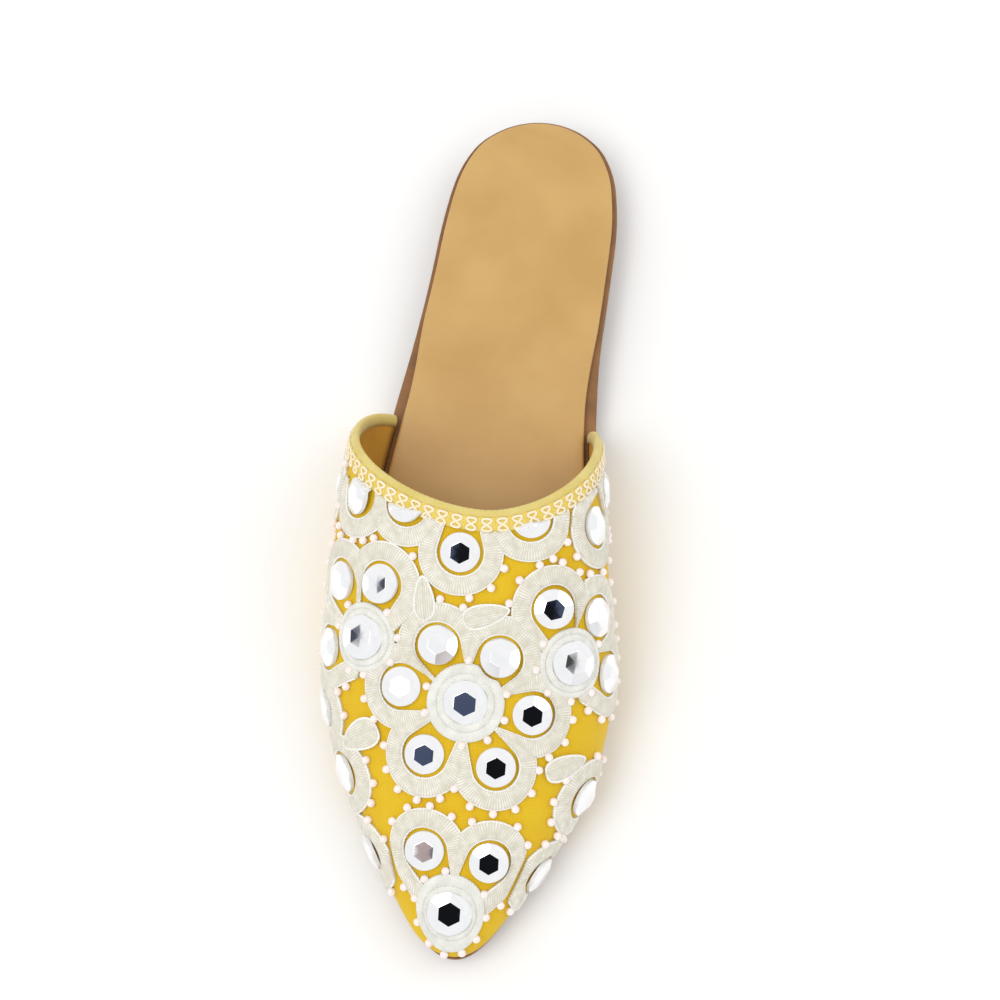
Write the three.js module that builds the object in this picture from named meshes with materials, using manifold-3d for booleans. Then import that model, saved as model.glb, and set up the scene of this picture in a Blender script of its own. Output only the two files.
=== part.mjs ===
// Flat backless mule with a pointed toe, for the right foot: fabric vamp on a thin sole with a low heel,
// rolled binding and flat braid at the collar, raised embroidered flowers set with round cut stones.
// Millimetres. x runs to the inner (medial) side, y from toe to heel, z up from the floor.

import * as THREE from 'three';
import { ConvexGeometry } from 'three/addons/geometries/ConvexGeometry.js';
import { mergeVertices } from 'three/addons/utils/BufferGeometryUtils.js';
import Module from 'manifold-3d';

const wasm = await Module();
wasm.setup();

// Driving sizes
const LENGTH = 262;
const GAP = 0.3;
const WELD = 0.002;
const SOLE_THICKNESS = 4;
const SOLE_EDGE_BEVEL = 0.8;
const SOLE_LEDGE = 0.7;
const INSOLE_THICKNESS = 2.4;
const INSOLE_EDGE_BEVEL = 0.7;
const INSOLE_BACK_INSET = 0.8;
const INSOLE_WALL_CLEARANCE = 1.2;
const INSOLE_FLARE_START = 6;
const INSOLE_FLARE_END = 36;
const WALL = 1.7;
const FULLEST_FEATHER = 0.999;
const HEEL_BREAST = 204;
const HEEL_INSET = 0.8;
const HEEL_TAPER = 1.6;

// Collar: seen from the side the topline is a quarter of a superellipse, from the throat down to the sole
const THROAT_STATION = 118.6;
const WING_STATION = 159.4;
const TOPLINE_POWER = 1.42;
const BINDING_HALF_RISE = 0.9;
const BINDING_HALF_THICKNESS = 1.2;
const BINDING_SIDES = 8;
const BRAID_START = 0.2;
const BRAID_WIDTH = 4;
const BRAID_THICKNESS = 0.8;
const TRIM_END = 0.02;

// Embroidery: bands around the stones, and the stones
const PETAL_RADIUS = 9.5;
const PETAL_ARC = 115;
const SCALLOP_ARM = 4;
const BAND_WIDTH = 5.6;
const BAND_TIP_WIDTH = 1.6;
const BAND_THICKNESS = 1;
const PETAL_LIFT = 0.25;
const FLOWER_LIFT = 0.1;
const SCALLOP_LIFT = 0.15;
const RING_THICKNESS = 1.1;
const STONE_RADIUS = 5.6;
const BIG_STONE_RADIUS = 6.4;
const STONE_HEIGHT = 2;
const STONE_GIRDLE = 0.7;
const STONE_TABLE = 0.58;
const STONE_GAP = 0.35;
const STONE_SIDES = 12;
const STONE_CLEARANCE = 0.5;
const LEAF_TIP = 0.6;
const EMBROIDERY_FOOT = 1;

// Smoothness of the faceted solids, and the small steps that slopes are measured over
const SLOPE_STEP = 0.05;
const EDGE_STEP = 0.001;
const HALVINGS = 40;
const PLANK_STEPS = 32;
const VAMP_STEPS = 18;
const VAMP_CROWN_STEPS = 20;
const VAMP_SIDE_STEPS = 3;
const TRIM_STEPS = 32;
const BAND_STEPS = 11;
const RING_STEPS = 18;
const LEAF_STEPS = 7;

const COLOURS = {
  fabric: { color: 0xe0b422, roughness: 0.75, metalness: 0 },
  binding: { color: 0xe8ce4b, roughness: 0.7, metalness: 0 },
  braid: { color: 0xe5c640, roughness: 0.6, metalness: 0 },
  thread: { color: 0xe6e2d2, roughness: 0.6, metalness: 0 },
  stone: { color: 0xd8dce2, roughness: 0.1, metalness: 0.6 },
  sock: { color: 0xc09050, roughness: 0.5, metalness: 0 },
  sole: { color: 0x8a6238, roughness: 0.6, metalness: 0 },
};

// Outer face of the vamp, a row for each section: half widths, height of the widest place,
// height and sideways place of the ridge, and the power of the rounded crown
const LAST = curves(['station', 'lateral', 'medial', 'widest', 'ridge', 'ridgeX', 'power'], [
  [0, 0, 0, 10.6, 12.2, 0, 2],
  [4, 9.6, 8.6, 10.8, 16, 0.2, 2],
  [10, 14.8, 13.3, 11, 19.9, 0.4, 2],
  [20, 21.3, 19.2, 11.3, 24.8, 0.5, 2.05],
  [35, 30, 27.2, 11.8, 30.5, 0.3, 2.1],
  [55, 39.8, 36.2, 13, 37, 0, 2.15],
  [80, 46.6, 39.2, 15.5, 44.6, -0.5, 2.2],
  [105, 47.6, 36.2, 20, 53.2, -1, 2.2],
  [125, 46.4, 32.6, 25, 60.5, -1.5, 2.15],
  [145, 45, 29.6, 28, 67.5, -2, 2.1],
  [165, 41.5, 27.2, 28, 74, -3, 2.1],
  [185, 36, 26, 28, 80, -4, 2.1],
]);

// Plan of the sole at the feather line, where vamp and sole meet
const PLAN = curves(['station', 'lateral', 'medial'], [
  [0, 0, 0],
  [4, 8.2, 7.4],
  [10, 13.1, 11.9],
  [20, 19.2, 17.3],
  [35, 27.4, 24.8],
  [55, 36.2, 32.8],
  [80, 42.2, 36.2],
  [105, 43, 33.8],
  [125, 41.6, 30.2],
  [145, 39.2, 27.2],
  [165, 36, 25.2],
  [185, 32.6, 24.4],
  [205, 30, 25.2],
  [225, 28.2, 25.8],
  [240, 25.8, 24.4],
  [252, 20.6, 19.8],
  [258, 13.9, 13.5],
  [262, 0, 0],
]);

// Side profile of the sole's top: toe spring, flat tread, arch and heel seat
const PROFILE = curves(['station', 'top'], [
  [0, 8.2],
  [20, 6.2],
  [40, 4.8],
  [58, 4],
  [85, 4],
  [112, 4],
  [125, 4.6],
  [145, 6.2],
  [165, 8.4],
  [185, 10.4],
  [205, 11.7],
  [225, 12],
  [262, 12],
]);

// Flowers: place on the vamp (station, bearing from the ridge, medial side positive), outer radius of ring,
// and for each petal its direction, in degrees from the medial side round towards the heel, and its distance
const FLOWERS = [
  {
    name: 'centre',
    panel: 'vamp',
    station: 68.8,
    bearing: -2.2,
    ring: 11.2,
    petals: [[357, 20.8], [57, 15.9], [121, 17.9], [171, 20.4], [235, 18.8], [301, 20]],
  },
  { name: 'toe', panel: 'toe', station: 12, bearing: -8, ring: 11.8, petals: [[54, 20.4], [117, 20.4]] },
  {
    name: 'lateral',
    panel: 'vamp',
    station: 85,
    bearing: -54,
    ring: 10,
    petals: [[66, 16.4], [121, 19.6], [186, 19]],
  },
  {
    name: 'medial',
    panel: 'vamp',
    station: 83.5,
    bearing: 51,
    ring: 10,
    petals: [[0, 19], [62, 16.6], [124, 16.8]],
  },
];

// Single petals: those along the collar and those that rise from the sole; facing is the closed side
const SCALLOPS = [
  { name: 'collar_front', panel: 'collar', station: 108.9, bearing: -8.8, facing: 270 },
  { name: 'collar_front_lateral', panel: 'collar', station: 121.3, bearing: -34, facing: 275 },
  { name: 'collar_front_medial', panel: 'collar', station: 120, bearing: 23, facing: 265 },
  { name: 'collar_side_lateral', panel: 'collar', station: 124.5, bearing: -58, facing: 290 },
  { name: 'collar_side_medial', panel: 'wing_medial', station: 123.3, bearing: 62.5, facing: 250 },
  { name: 'wing_lateral', panel: 'wing_lateral', station: 132, bearing: -88, facing: 300 },
  { name: 'wing_medial', panel: 'wing_medial', station: 137, bearing: 85, facing: 240 },
  { name: 'edge_back_lateral', panel: 'vamp', station: 67, bearing: -85, facing: 0 },
  { name: 'edge_front_lateral', panel: 'vamp', station: 48.5, bearing: -80, facing: 0 },
  { name: 'edge_front_medial', panel: 'edge_medial', station: 48.6, bearing: 82, facing: 180 },
  { name: 'toe_side_lateral', panel: 'toe_lateral', station: 27.5, bearing: -88, facing: 0 },
  { name: 'toe_side_medial', panel: 'toe_medial', station: 25.8, bearing: 87.5, facing: 180 },
];

// Leaves: place, direction of the tip, length and width
const LEAVES = [
  { panel: 'vamp', station: 96.2, bearing: -25.5, facing: 95, length: 12, width: 5.8 },
  { panel: 'vamp', station: 92.8, bearing: 6, facing: 20, length: 13, width: 6.4 },
  { panel: 'vamp', station: 58, bearing: -62, facing: 200, length: 14, width: 8.4 },
  { panel: 'leaf_medial', station: 55.5, bearing: 60, facing: 30, length: 13, width: 6.6 },
];

function radians(degrees) {
  return THREE.MathUtils.degToRad(degrees);
}

// Angle that runs evenly around a rounded end, so that a table over it closes round at toe and heel
function endAngle(station) {
  const share = THREE.MathUtils.clamp(station / LENGTH, 0, 1);
  return Math.acos(1 - 2 * share);
}

// Monotone cubic through a column of a table, over the end angle
function smoothColumn(stations, values) {
  const angles = stations.map(endAngle);
  const last = angles.length - 1;
  const steps = angles.slice(1).map((angle, i) => angle - angles[i]);
  const slopes = steps.map((step, i) => (values[i + 1] - values[i]) / step);
  const tangents = values.map((_, i) => {
    if (i === 0) return slopes[0];
    if (i === last) return slopes[last - 1];
    if (slopes[i - 1] * slopes[i] <= 0) return 0;
    const before = 2 * steps[i] + steps[i - 1];
    const after = steps[i] + 2 * steps[i - 1];
    return (before + after) / (before / slopes[i - 1] + after / slopes[i]);
  });
  return (station) => {
    const angle = THREE.MathUtils.clamp(endAngle(station), angles[0], angles[last]);
    let i = angles.findIndex((end) => end > angle) - 1;
    if (i < 0) i = last - 1;
    const t = (angle - angles[i]) / steps[i];
    const rise = t * t * (3 - 2 * t);
    const lead = t * (1 - t) * (1 - t) * steps[i] * tangents[i];
    const trail = t * t * (1 - t) * steps[i] * tangents[i + 1];
    return values[i] + rise * (values[i + 1] - values[i]) + lead - trail;
  };
}

// Turns a table with named columns into one smooth function of the station for each column
function curves(columns, rows) {
  const stations = rows.map((row) => row[0]);
  const named = columns.slice(1).map((name, c) => {
    const values = rows.map((row) => row[c + 1]);
    return [name, smoothColumn(stations, values)];
  });
  return Object.fromEntries(named);
}

// Cross-section of the vamp at a station: its centre, and half width, feather width, crown and skirt per side
function section(station) {
  const s = Math.max(station, 1e-9);
  const x = LAST.ridgeX(s);
  const z = LAST.widest(s);
  const foot = PROFILE.top(s) + GAP;
  const side = (half, feather) => {
    const share = Math.min(feather / half, FULLEST_FEATHER);
    return { half, skirt: (z - foot) / Math.sqrt(1 - share * share) };
  };
  const lateral = side(LAST.lateral(s) + x, PLAN.lateral(s) + x);
  const medial = side(LAST.medial(s) - x, PLAN.medial(s) - x);
  return { x, z, foot, crown: LAST.ridge(s) - z, power: LAST.power(s), lateral, medial };
}

// 1 on the vamp's outer face, more outside and less inside
function wallRatio(point) {
  const cut = section(point.y);
  const dx = point.x - cut.x;
  const dz = point.z - cut.z;
  const side = dx < 0 ? cut.lateral : cut.medial;
  const power = dz > 0 ? cut.power : 2;
  const height = dz > 0 ? cut.crown : side.skirt;
  const across = Math.pow(Math.abs(dx) / side.half, power);
  const upward = Math.pow(Math.abs(dz) / height, power);
  return Math.pow(across + upward, 1 / power);
}

// Outward normal of the vamp's outer face
function wallNormal(point) {
  const slope = (axis) => {
    const ahead = point.clone().addScaledVector(axis, SLOPE_STEP);
    const behind = point.clone().addScaledVector(axis, -SLOPE_STEP);
    return wallRatio(ahead) - wallRatio(behind);
  };
  const x = slope(new THREE.Vector3(1, 0, 0));
  const y = slope(new THREE.Vector3(0, 1, 0));
  const z = slope(new THREE.Vector3(0, 0, 1));
  return new THREE.Vector3(x, y, z).normalize();
}

// Moves a point within its own cross-section onto the vamp's outer face
function ontoWall(point) {
  const cut = section(point.y);
  const centre = new THREE.Vector3(cut.x, point.y, cut.z);
  return point.clone().sub(centre).divideScalar(wallRatio(point)).add(centre);
}

// Point of the outer face at a station and a bearing from the ridge
function wallPoint(station, bearing) {
  const cut = section(station);
  const angle = radians(bearing);
  return ontoWall(new THREE.Vector3(cut.x + Math.sin(angle), station, cut.z + Math.cos(angle)));
}

// Flat working frame on the vamp: across to the medial side, along to the heel, out along the normal
function wallFrame(station, bearing) {
  const origin = wallPoint(station, bearing);
  const out = wallNormal(origin);
  const across = wallPoint(station, bearing + 1).sub(wallPoint(station, bearing - 1));
  across.addScaledVector(out, -across.dot(out)).normalize();
  const along = new THREE.Vector3().crossVectors(out, across);
  return { origin, across, along, out };
}

// Lays a flat point of a working frame on the vamp, raised above it
function layOnWall(frame, flat, height) {
  const point = frame.origin.clone();
  point.addScaledVector(frame.across, flat.x).addScaledVector(frame.along, flat.y);
  const seat = ontoWall(point);
  return seat.addScaledVector(wallNormal(seat), height);
}

// Closed geometry from triangles of points, without the ones that collapse at a tip
function solidFromFaces(faces) {
  const corners = faces.flat().flatMap((point) => [point.x, point.y, point.z]);
  const loose = new THREE.BufferGeometry();
  loose.setAttribute('position', new THREE.Float32BufferAttribute(corners, 3));
  const merged = mergeVertices(loose, WELD);
  const index = [];
  const drawn = merged.index.array;
  for (let i = 0; i < drawn.length; i += 3) {
    const [a, b, c] = [drawn[i], drawn[i + 1], drawn[i + 2]];
    if (a !== b && b !== c && c !== a) index.push(a, b, c);
  }
  merged.setIndex(index);
  return merged;
}

// Two triangles of a four-cornered face
function quad(a, b, c, d) {
  return [[a, b, c], [a, c, d]];
}

// Skin over a row of rings with the same number of points; seen along the row, each ring runs from its lower
// left corner to its lower right one and on round. Flat caps close the ends where they are asked for
function skinRings(rings, { closed = false, caps = false } = {}) {
  const faces = [];
  const count = rings[0].length;
  const spans = closed ? rings.length : rings.length - 1;
  for (let i = 0; i < spans; i += 1) {
    const near = rings[i];
    const far = rings[(i + 1) % rings.length];
    for (let j = 0; j < count; j += 1) {
      const next = (j + 1) % count;
      faces.push(...quad(near[j], far[j], far[next], near[next]));
    }
  }
  if (caps) {
    const first = rings[0];
    const final = rings[rings.length - 1];
    for (let j = 1; j < count - 1; j += 1) {
      faces.push([first[0], first[j], first[j + 1]]);
      faces.push([final[0], final[j + 1], final[j]]);
    }
  }
  return solidFromFaces(faces);
}

// Solid for joining and cutting
function toManifold(geometry) {
  const vertProperties = new Float32Array(geometry.attributes.position.array);
  const triVerts = new Uint32Array(geometry.index.array);
  return new wasm.Manifold(new wasm.Mesh({ numProp: 3, vertProperties, triVerts }));
}

function fromManifold(solid) {
  const mesh = solid.getMesh();
  const geometry = new THREE.BufferGeometry();
  geometry.setAttribute('position', new THREE.BufferAttribute(new Float32Array(mesh.vertProperties), 3));
  geometry.setIndex(new THREE.BufferAttribute(new Uint32Array(mesh.triVerts), 1));
  return geometry;
}

// Point of the sole's plan, moved inwards along the plan's own normal
function planPoint(station, sideSign, inset) {
  const half = sideSign < 0 ? PLAN.lateral : PLAN.medial;
  if (station <= 0) return new THREE.Vector2(0, inset);
  if (station >= LENGTH) return new THREE.Vector2(0, LENGTH - inset);
  const widening = half(station + EDGE_STEP) - half(station - EDGE_STEP);
  const tangent = new THREE.Vector2(widening, 2 * EDGE_STEP).normalize();
  return new THREE.Vector2(sideSign * (half(station) - inset * tangent.y), station + inset * tangent.x);
}

// Stations closer together at the rounded ends
function endStations(from, to) {
  return Array.from({ length: PLANK_STEPS + 1 }, (_, i) => {
    const share = (1 - Math.cos((Math.PI * i) / PLANK_STEPS)) / 2;
    return from + (to - from) * share;
  });
}

// Layer of the sole: plan edge inset by a function of the station, between two heights, with bevelled edges
function layer({ inset, bottom, top, lowerBevel, upperBevel }) {
  const rings = endStations(0, LENGTH).map((station) => {
    const lateral = planPoint(station, -1, inset(station));
    const medial = planPoint(station, 1, inset(station));
    const width = medial.x - lateral.x;
    const corner = (edge, sideSign, isTop, level) => {
      const height = isTop ? top(edge.y) : bottom(edge.y);
      const bevel = Math.min(isTop ? upperBevel : lowerBevel, width / 4);
      const inwards = level === 'face' ? -sideSign * bevel : 0;
      const upwards = level === 'edge' ? bevel * (isTop ? -1 : 1) : 0;
      return new THREE.Vector3(edge.x + inwards, edge.y, height + upwards);
    };
    return [
      corner(lateral, -1, false, 'face'),
      corner(medial, 1, false, 'face'),
      corner(medial, 1, false, 'edge'),
      corner(medial, 1, true, 'edge'),
      corner(medial, 1, true, 'face'),
      corner(lateral, -1, true, 'face'),
      corner(lateral, -1, true, 'edge'),
      corner(lateral, -1, false, 'edge'),
    ];
  });
  return skinRings(rings);
}

function outsoleGeometry() {
  return layer({
    inset: () => -SOLE_LEDGE,
    bottom: (station) => PROFILE.top(station) - SOLE_THICKNESS,
    top: PROFILE.top,
    lowerBevel: SOLE_EDGE_BEVEL,
    upperBevel: 0,
  });
}

// The insole lies inside the wall under the vamp and widens to the sole's edge behind the wings
function insoleGeometry() {
  const underVamp = WALL + INSOLE_WALL_CLEARANCE;
  return layer({
    inset: (station) => {
      const behindWing = station - WING_STATION;
      const share = THREE.MathUtils.smoothstep(behindWing, INSOLE_FLARE_START, INSOLE_FLARE_END);
      return THREE.MathUtils.lerp(underVamp, INSOLE_BACK_INSET, share);
    },
    bottom: (station) => PROFILE.top(station) + GAP,
    top: (station) => PROFILE.top(station) + GAP + INSOLE_THICKNESS,
    lowerBevel: 0,
    upperBevel: INSOLE_EDGE_BEVEL,
  });
}

// Low block under the heel seat, straight at the breast and tapered to its flat tread
function heelGeometry() {
  const steps = PLANK_STEPS / 2;
  const rings = Array.from({ length: steps + 1 }, (_, i) => {
    const station = HEEL_BREAST + (LENGTH - HEEL_BREAST) * Math.sin((Math.PI / 2) * (i / steps));
    const taper = HEEL_INSET + HEEL_TAPER;
    const corner = (sideSign, inset, height) => {
      const edge = planPoint(station, sideSign, inset);
      return new THREE.Vector3(edge.x, edge.y, height ?? PROFILE.top(edge.y) - SOLE_THICKNESS - GAP);
    };
    return [corner(-1, taper, 0), corner(1, taper, 0), corner(1, HEEL_INSET), corner(-1, HEEL_INSET)];
  });
  return skinRings(rings, { caps: true });
}

// How far a point of the outer face lies behind the topline: negative in front of it
function behindTopline(point) {
  const foot = PROFILE.top(WING_STATION);
  const rise = (point.z - foot) / (LAST.ridge(THROAT_STATION) - foot);
  const back = (point.y - THROAT_STATION) / (WING_STATION - THROAT_STATION);
  return Math.max(back, 0) ** TOPLINE_POWER + Math.max(rise, 0) ** TOPLINE_POWER - 1;
}

// Outer point of the vamp: share across from the lateral feather line (0) over the ridge to the medial (1)
function vampPoint(station, column) {
  const cut = section(station);
  const columns = VAMP_CROWN_STEPS + 2 * VAMP_SIDE_STEPS;
  const fromEdge = Math.min(column, columns - column);
  const isLateral = column < columns / 2;
  const side = isLateral ? cut.lateral : cut.medial;
  const sign = isLateral ? -1 : 1;
  if (fromEdge <= VAMP_SIDE_STEPS) {
    const z = THREE.MathUtils.lerp(cut.foot, cut.z, fromEdge / VAMP_SIDE_STEPS);
    const drop = (cut.z - z) / side.skirt;
    return new THREE.Vector3(cut.x + sign * side.half * Math.sqrt(1 - drop * drop), station, z);
  }
  const angle = (Math.PI * (fromEdge - VAMP_SIDE_STEPS)) / VAMP_CROWN_STEPS;
  const across = Math.pow(Math.max(Math.cos(angle), 0), 2 / cut.power);
  const upward = Math.pow(Math.sin(angle), 2 / cut.power);
  return new THREE.Vector3(cut.x + sign * side.half * across, station, cut.z + cut.crown * upward);
}

// Station where a column of the vamp reaches the topline
function toplineStation(column) {
  let front = THROAT_STATION - 1;
  let back = WING_STATION + 1;
  for (let halving = 0; halving < HALVINGS; halving += 1) {
    const middle = (front + back) / 2;
    if (behindTopline(vampPoint(middle, column)) < 0) front = middle;
    else back = middle;
  }
  return (front + back) / 2;
}

// Hollow vamp: outer face, inner face a wall's thickness inside, joined along topline and feather line
function upperGeometry() {
  const columns = VAMP_CROWN_STEPS + 2 * VAMP_SIDE_STEPS;
  const outer = [];
  const inner = [];
  for (let column = 0; column <= columns; column += 1) {
    const end = toplineStation(column);
    const isFoot = column === 0 || column === columns;
    outer.push([]);
    inner.push([]);
    for (let step = 0; step <= VAMP_STEPS; step += 1) {
      const station = end * (1 - Math.cos((Math.PI / 2) * (step / VAMP_STEPS)));
      const point = vampPoint(station, column);
      if (step === 0) point.x = 0;
      const normal = step === 0 ? new THREE.Vector3(0, -1, 0) : wallNormal(point);
      const inside = point.clone().addScaledVector(normal, -WALL);
      if (isFoot) inside.z = point.z;
      outer[column].push(point);
      inner[column].push(inside);
    }
  }
  const faces = [];
  for (let c = 0; c < columns; c += 1) {
    for (let k = 0; k < VAMP_STEPS; k += 1) {
      faces.push(...quad(outer[c][k], outer[c + 1][k], outer[c + 1][k + 1], outer[c][k + 1]));
      faces.push(...quad(inner[c][k], inner[c][k + 1], inner[c + 1][k + 1], inner[c + 1][k]));
    }
    const rim = VAMP_STEPS;
    faces.push(...quad(outer[c][rim], outer[c + 1][rim], inner[c + 1][rim], inner[c][rim]));
  }
  for (let k = 0; k < VAMP_STEPS; k += 1) {
    const [lateral, medial] = [0, columns];
    faces.push(...quad(outer[lateral][k], outer[lateral][k + 1], inner[lateral][k + 1], inner[lateral][k]));
    faces.push(...quad(outer[medial][k], inner[medial][k], inner[medial][k + 1], outer[medial][k + 1]));
  }
  return solidFromFaces(faces);
}

// Frames along the topline, from the lateral wing over the throat to the medial wing
function toplineFrames(steps, end) {
  const columns = VAMP_CROWN_STEPS + 2 * VAMP_SIDE_STEPS;
  const rim = Array.from({ length: columns + 1 }, (_, column) => vampPoint(toplineStation(column), column));
  const path = new THREE.CatmullRomCurve3(rim, false, 'centripetal');
  return Array.from({ length: steps + 1 }, (_, i) => {
    const share = THREE.MathUtils.lerp(end, 1 - end, i / steps);
    const seat = ontoWall(path.getPointAt(share));
    const out = wallNormal(seat);
    const run = path.getTangentAt(share);
    run.addScaledVector(out, -run.dot(out)).normalize();
    const toToe = new THREE.Vector3().crossVectors(run, out);
    if (toToe.y > 0) toToe.negate();
    return { seat, out, run, toToe };
  });
}

// Rolled edge: an oval section carried along the rim, just behind it
function bindingGeometry() {
  const rings = toplineFrames(TRIM_STEPS, TRIM_END).map(({ seat, out, toToe }) => {
    const centre = seat.clone().addScaledVector(out, -WALL / 2);
    centre.addScaledVector(toToe, -BINDING_HALF_RISE - GAP);
    return Array.from({ length: BINDING_SIDES }, (_, j) => {
      const angle = (2 * Math.PI * j) / BINDING_SIDES;
      const sideways = BINDING_HALF_RISE * Math.cos(angle);
      const upwards = BINDING_HALF_THICKNESS * Math.sin(angle);
      return centre.clone().addScaledVector(toToe, sideways).addScaledVector(out, upwards);
    });
  });
  return skinRings(rings, { caps: true });
}

// Strip that follows the topline at a distance from the rim, between two heights over the vamp
function toplineStrip({ near, far, bottom, top, end }) {
  const rings = toplineFrames(TRIM_STEPS, end).map(({ seat, toToe }) => {
    const corner = (distance, height) => {
      const place = ontoWall(seat.clone().addScaledVector(toToe, distance));
      return place.clone().addScaledVector(wallNormal(place), height);
    };
    return [corner(near, bottom), corner(far, bottom), corner(far, top), corner(near, top)];
  });
  return skinRings(rings, { caps: true });
}

function braidGeometry() {
  return toplineStrip({
    near: BRAID_START,
    far: BRAID_START + BRAID_WIDTH,
    bottom: GAP,
    top: GAP + BRAID_THICKNESS,
    end: TRIM_END,
  });
}

// Raised band over the vamp: a flat path in a working frame, with its width along the way
function bandGeometry(frame, path, { steps, thickness, closed, lift = 0 }) {
  const count = closed ? steps : steps + 1;
  const rings = Array.from({ length: count }, (_, i) => {
    const { point, heading, width } = path(i / steps);
    const right = new THREE.Vector2(Math.sin(heading), -Math.cos(heading)).multiplyScalar(width / 2);
    const corner = (side, height) => layOnWall(frame, point.clone().addScaledVector(right, side), height);
    const bottom = GAP + lift;
    const top = bottom + thickness;
    return [corner(-1, bottom), corner(1, bottom), corner(1, top), corner(-1, top)];
  });
  return skinRings(rings, { closed, caps: !closed });
}

// Horseshoe around a stone: a round end on the side it faces, then two straight arms narrowing to the tips
function petalBand(frame, centre, facing, arm, lift) {
  const bend = PETAL_RADIUS * radians(PETAL_ARC);
  const path = (share) => {
    const run = (bend + arm) * (2 * share - 1);
    const onArm = Math.max(Math.abs(run) - bend, 0);
    const angle = radians(facing) + THREE.MathUtils.clamp(run, -bend, bend) / PETAL_RADIUS;
    const heading = angle + Math.PI / 2;
    const point = new THREE.Vector2(Math.cos(angle), Math.sin(angle)).multiplyScalar(PETAL_RADIUS);
    const forward = new THREE.Vector2(Math.cos(heading), Math.sin(heading));
    point.addScaledVector(forward, Math.sign(run) * onArm).add(centre);
    return { point, heading, width: THREE.MathUtils.lerp(BAND_WIDTH, BAND_TIP_WIDTH, onArm / arm) };
  };
  return bandGeometry(frame, path, { steps: BAND_STEPS, thickness: BAND_THICKNESS, closed: false, lift });
}

// Length of the arms of a flower's petal, which end in the middle of the ring's width
function armLength(reach, ring) {
  const bend = radians(PETAL_ARC);
  const ringMiddle = (BIG_STONE_RADIUS + ring) / 2;
  return (reach + PETAL_RADIUS * Math.cos(bend) - ringMiddle) / Math.sin(bend);
}

// Ring around the big stone in the middle of a flower
function ringBand(frame, ring, lift) {
  const width = ring - BIG_STONE_RADIUS;
  const path = (share) => {
    const angle = 2 * Math.PI * share;
    const point = new THREE.Vector2(Math.cos(angle), Math.sin(angle)).multiplyScalar(ring - width / 2);
    return { point, heading: angle + Math.PI / 2, width };
  };
  return bandGeometry(frame, path, { steps: RING_STEPS, thickness: RING_THICKNESS, closed: true, lift });
}

// Leaf, broad in the middle and pointed at both ends
function leafBand(frame, facing, length, width) {
  const heading = radians(facing);
  const path = (share) => {
    const reach = length * (share - 0.5);
    const point = new THREE.Vector2(Math.cos(heading), Math.sin(heading)).multiplyScalar(reach);
    return { point, heading, width: Math.max(width * Math.sin(Math.PI * share), LEAF_TIP) };
  };
  const lift = 3 * PETAL_LIFT;
  return bandGeometry(frame, path, { steps: LEAF_STEPS, thickness: BAND_THICKNESS, closed: false, lift });
}

// Round body on a stone's seat, from levels of regular polygons: sides, radius and height over the vamp
function seatedBody(frame, centre, levels) {
  const seat = layOnWall(frame, centre, 0);
  const out = wallNormal(seat);
  const across = frame.across.clone().addScaledVector(out, -frame.across.dot(out)).normalize();
  const along = new THREE.Vector3().crossVectors(out, across);
  const points = levels.flatMap(({ sides, radius, height }) => Array.from({ length: sides }, (_, i) => {
    const angle = (2 * Math.PI * i) / sides;
    return seat.clone()
      .addScaledVector(across, radius * Math.cos(angle))
      .addScaledVector(along, radius * Math.sin(angle))
      .addScaledVector(out, height);
  }));
  const hull = new ConvexGeometry(points);
  hull.deleteAttribute('normal');
  return toManifold(mergeVertices(hull, WELD));
}

// Cut stone: round girdle, slanted facets and a six-sided table
function stoneSolid(frame, centre, radius) {
  return seatedBody(frame, centre, [
    { sides: STONE_SIDES, radius, height: STONE_GAP },
    { sides: STONE_SIDES, radius, height: STONE_GAP + STONE_GIRDLE },
    { sides: STONE_SIDES / 2, radius: radius * STONE_TABLE, height: STONE_GAP + STONE_HEIGHT },
  ]);
}

// Hole that the embroidery leaves around a stone
function stoneHole(frame, centre, radius) {
  return seatedBody(frame, centre, [
    { sides: STONE_SIDES, radius: radius + STONE_CLEARANCE, height: -STONE_HEIGHT },
    { sides: STONE_SIDES, radius: radius + STONE_CLEARANCE, height: 2 * STONE_HEIGHT },
  ]);
}

function petalCentre(facing, reach) {
  const angle = radians(facing);
  return new THREE.Vector2(Math.cos(angle), Math.sin(angle)).multiplyScalar(reach);
}

const group = new THREE.Group();

function addPiece(name, geometry, look) {
  const mesh = new THREE.Mesh(geometry, new THREE.MeshStandardMaterial(COLOURS[look]));
  mesh.name = name;
  group.add(mesh);
}

addPiece('outsole', outsoleGeometry(), 'sole');
addPiece('heel', heelGeometry(), 'sole');
addPiece('insole', insoleGeometry(), 'sock');
addPiece('upper', upperGeometry(), 'fabric');
addPiece('binding', bindingGeometry(), 'binding');
addPiece('braid', braidGeometry(), 'braid');

// Embroidery and stones stop short of the braid and of the sole
const collarClearance = toManifold(toplineStrip({
  near: -BRAID_WIDTH * 4,
  far: BRAID_START + BRAID_WIDTH + GAP,
  bottom: -WALL / 2,
  top: STONE_HEIGHT * 2,
  end: 0,
}));
const soleClearance = toManifold(layer({
  inset: () => -PETAL_RADIUS,
  bottom: (station) => PROFILE.top(station) - SOLE_THICKNESS,
  top: (station) => PROFILE.top(station) + EMBROIDERY_FOOT,
  lowerBevel: 0,
  upperBevel: 0,
}));

function trimmed(solid) {
  return solid.subtract(collarClearance).subtract(soleClearance);
}

const panels = {};
const stoneHoles = [];
const origin = new THREE.Vector2();

function addToPanel(panel, geometry) {
  const solid = toManifold(geometry);
  panels[panel] = panels[panel] ? panels[panel].add(solid) : solid;
}

function addStone(name, frame, centre, radius) {
  const stone = trimmed(stoneSolid(frame, centre, radius));
  addPiece(`stone_${name}`, fromManifold(stone), 'stone');
  stoneHoles.push(stoneHole(frame, centre, radius));
}

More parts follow.
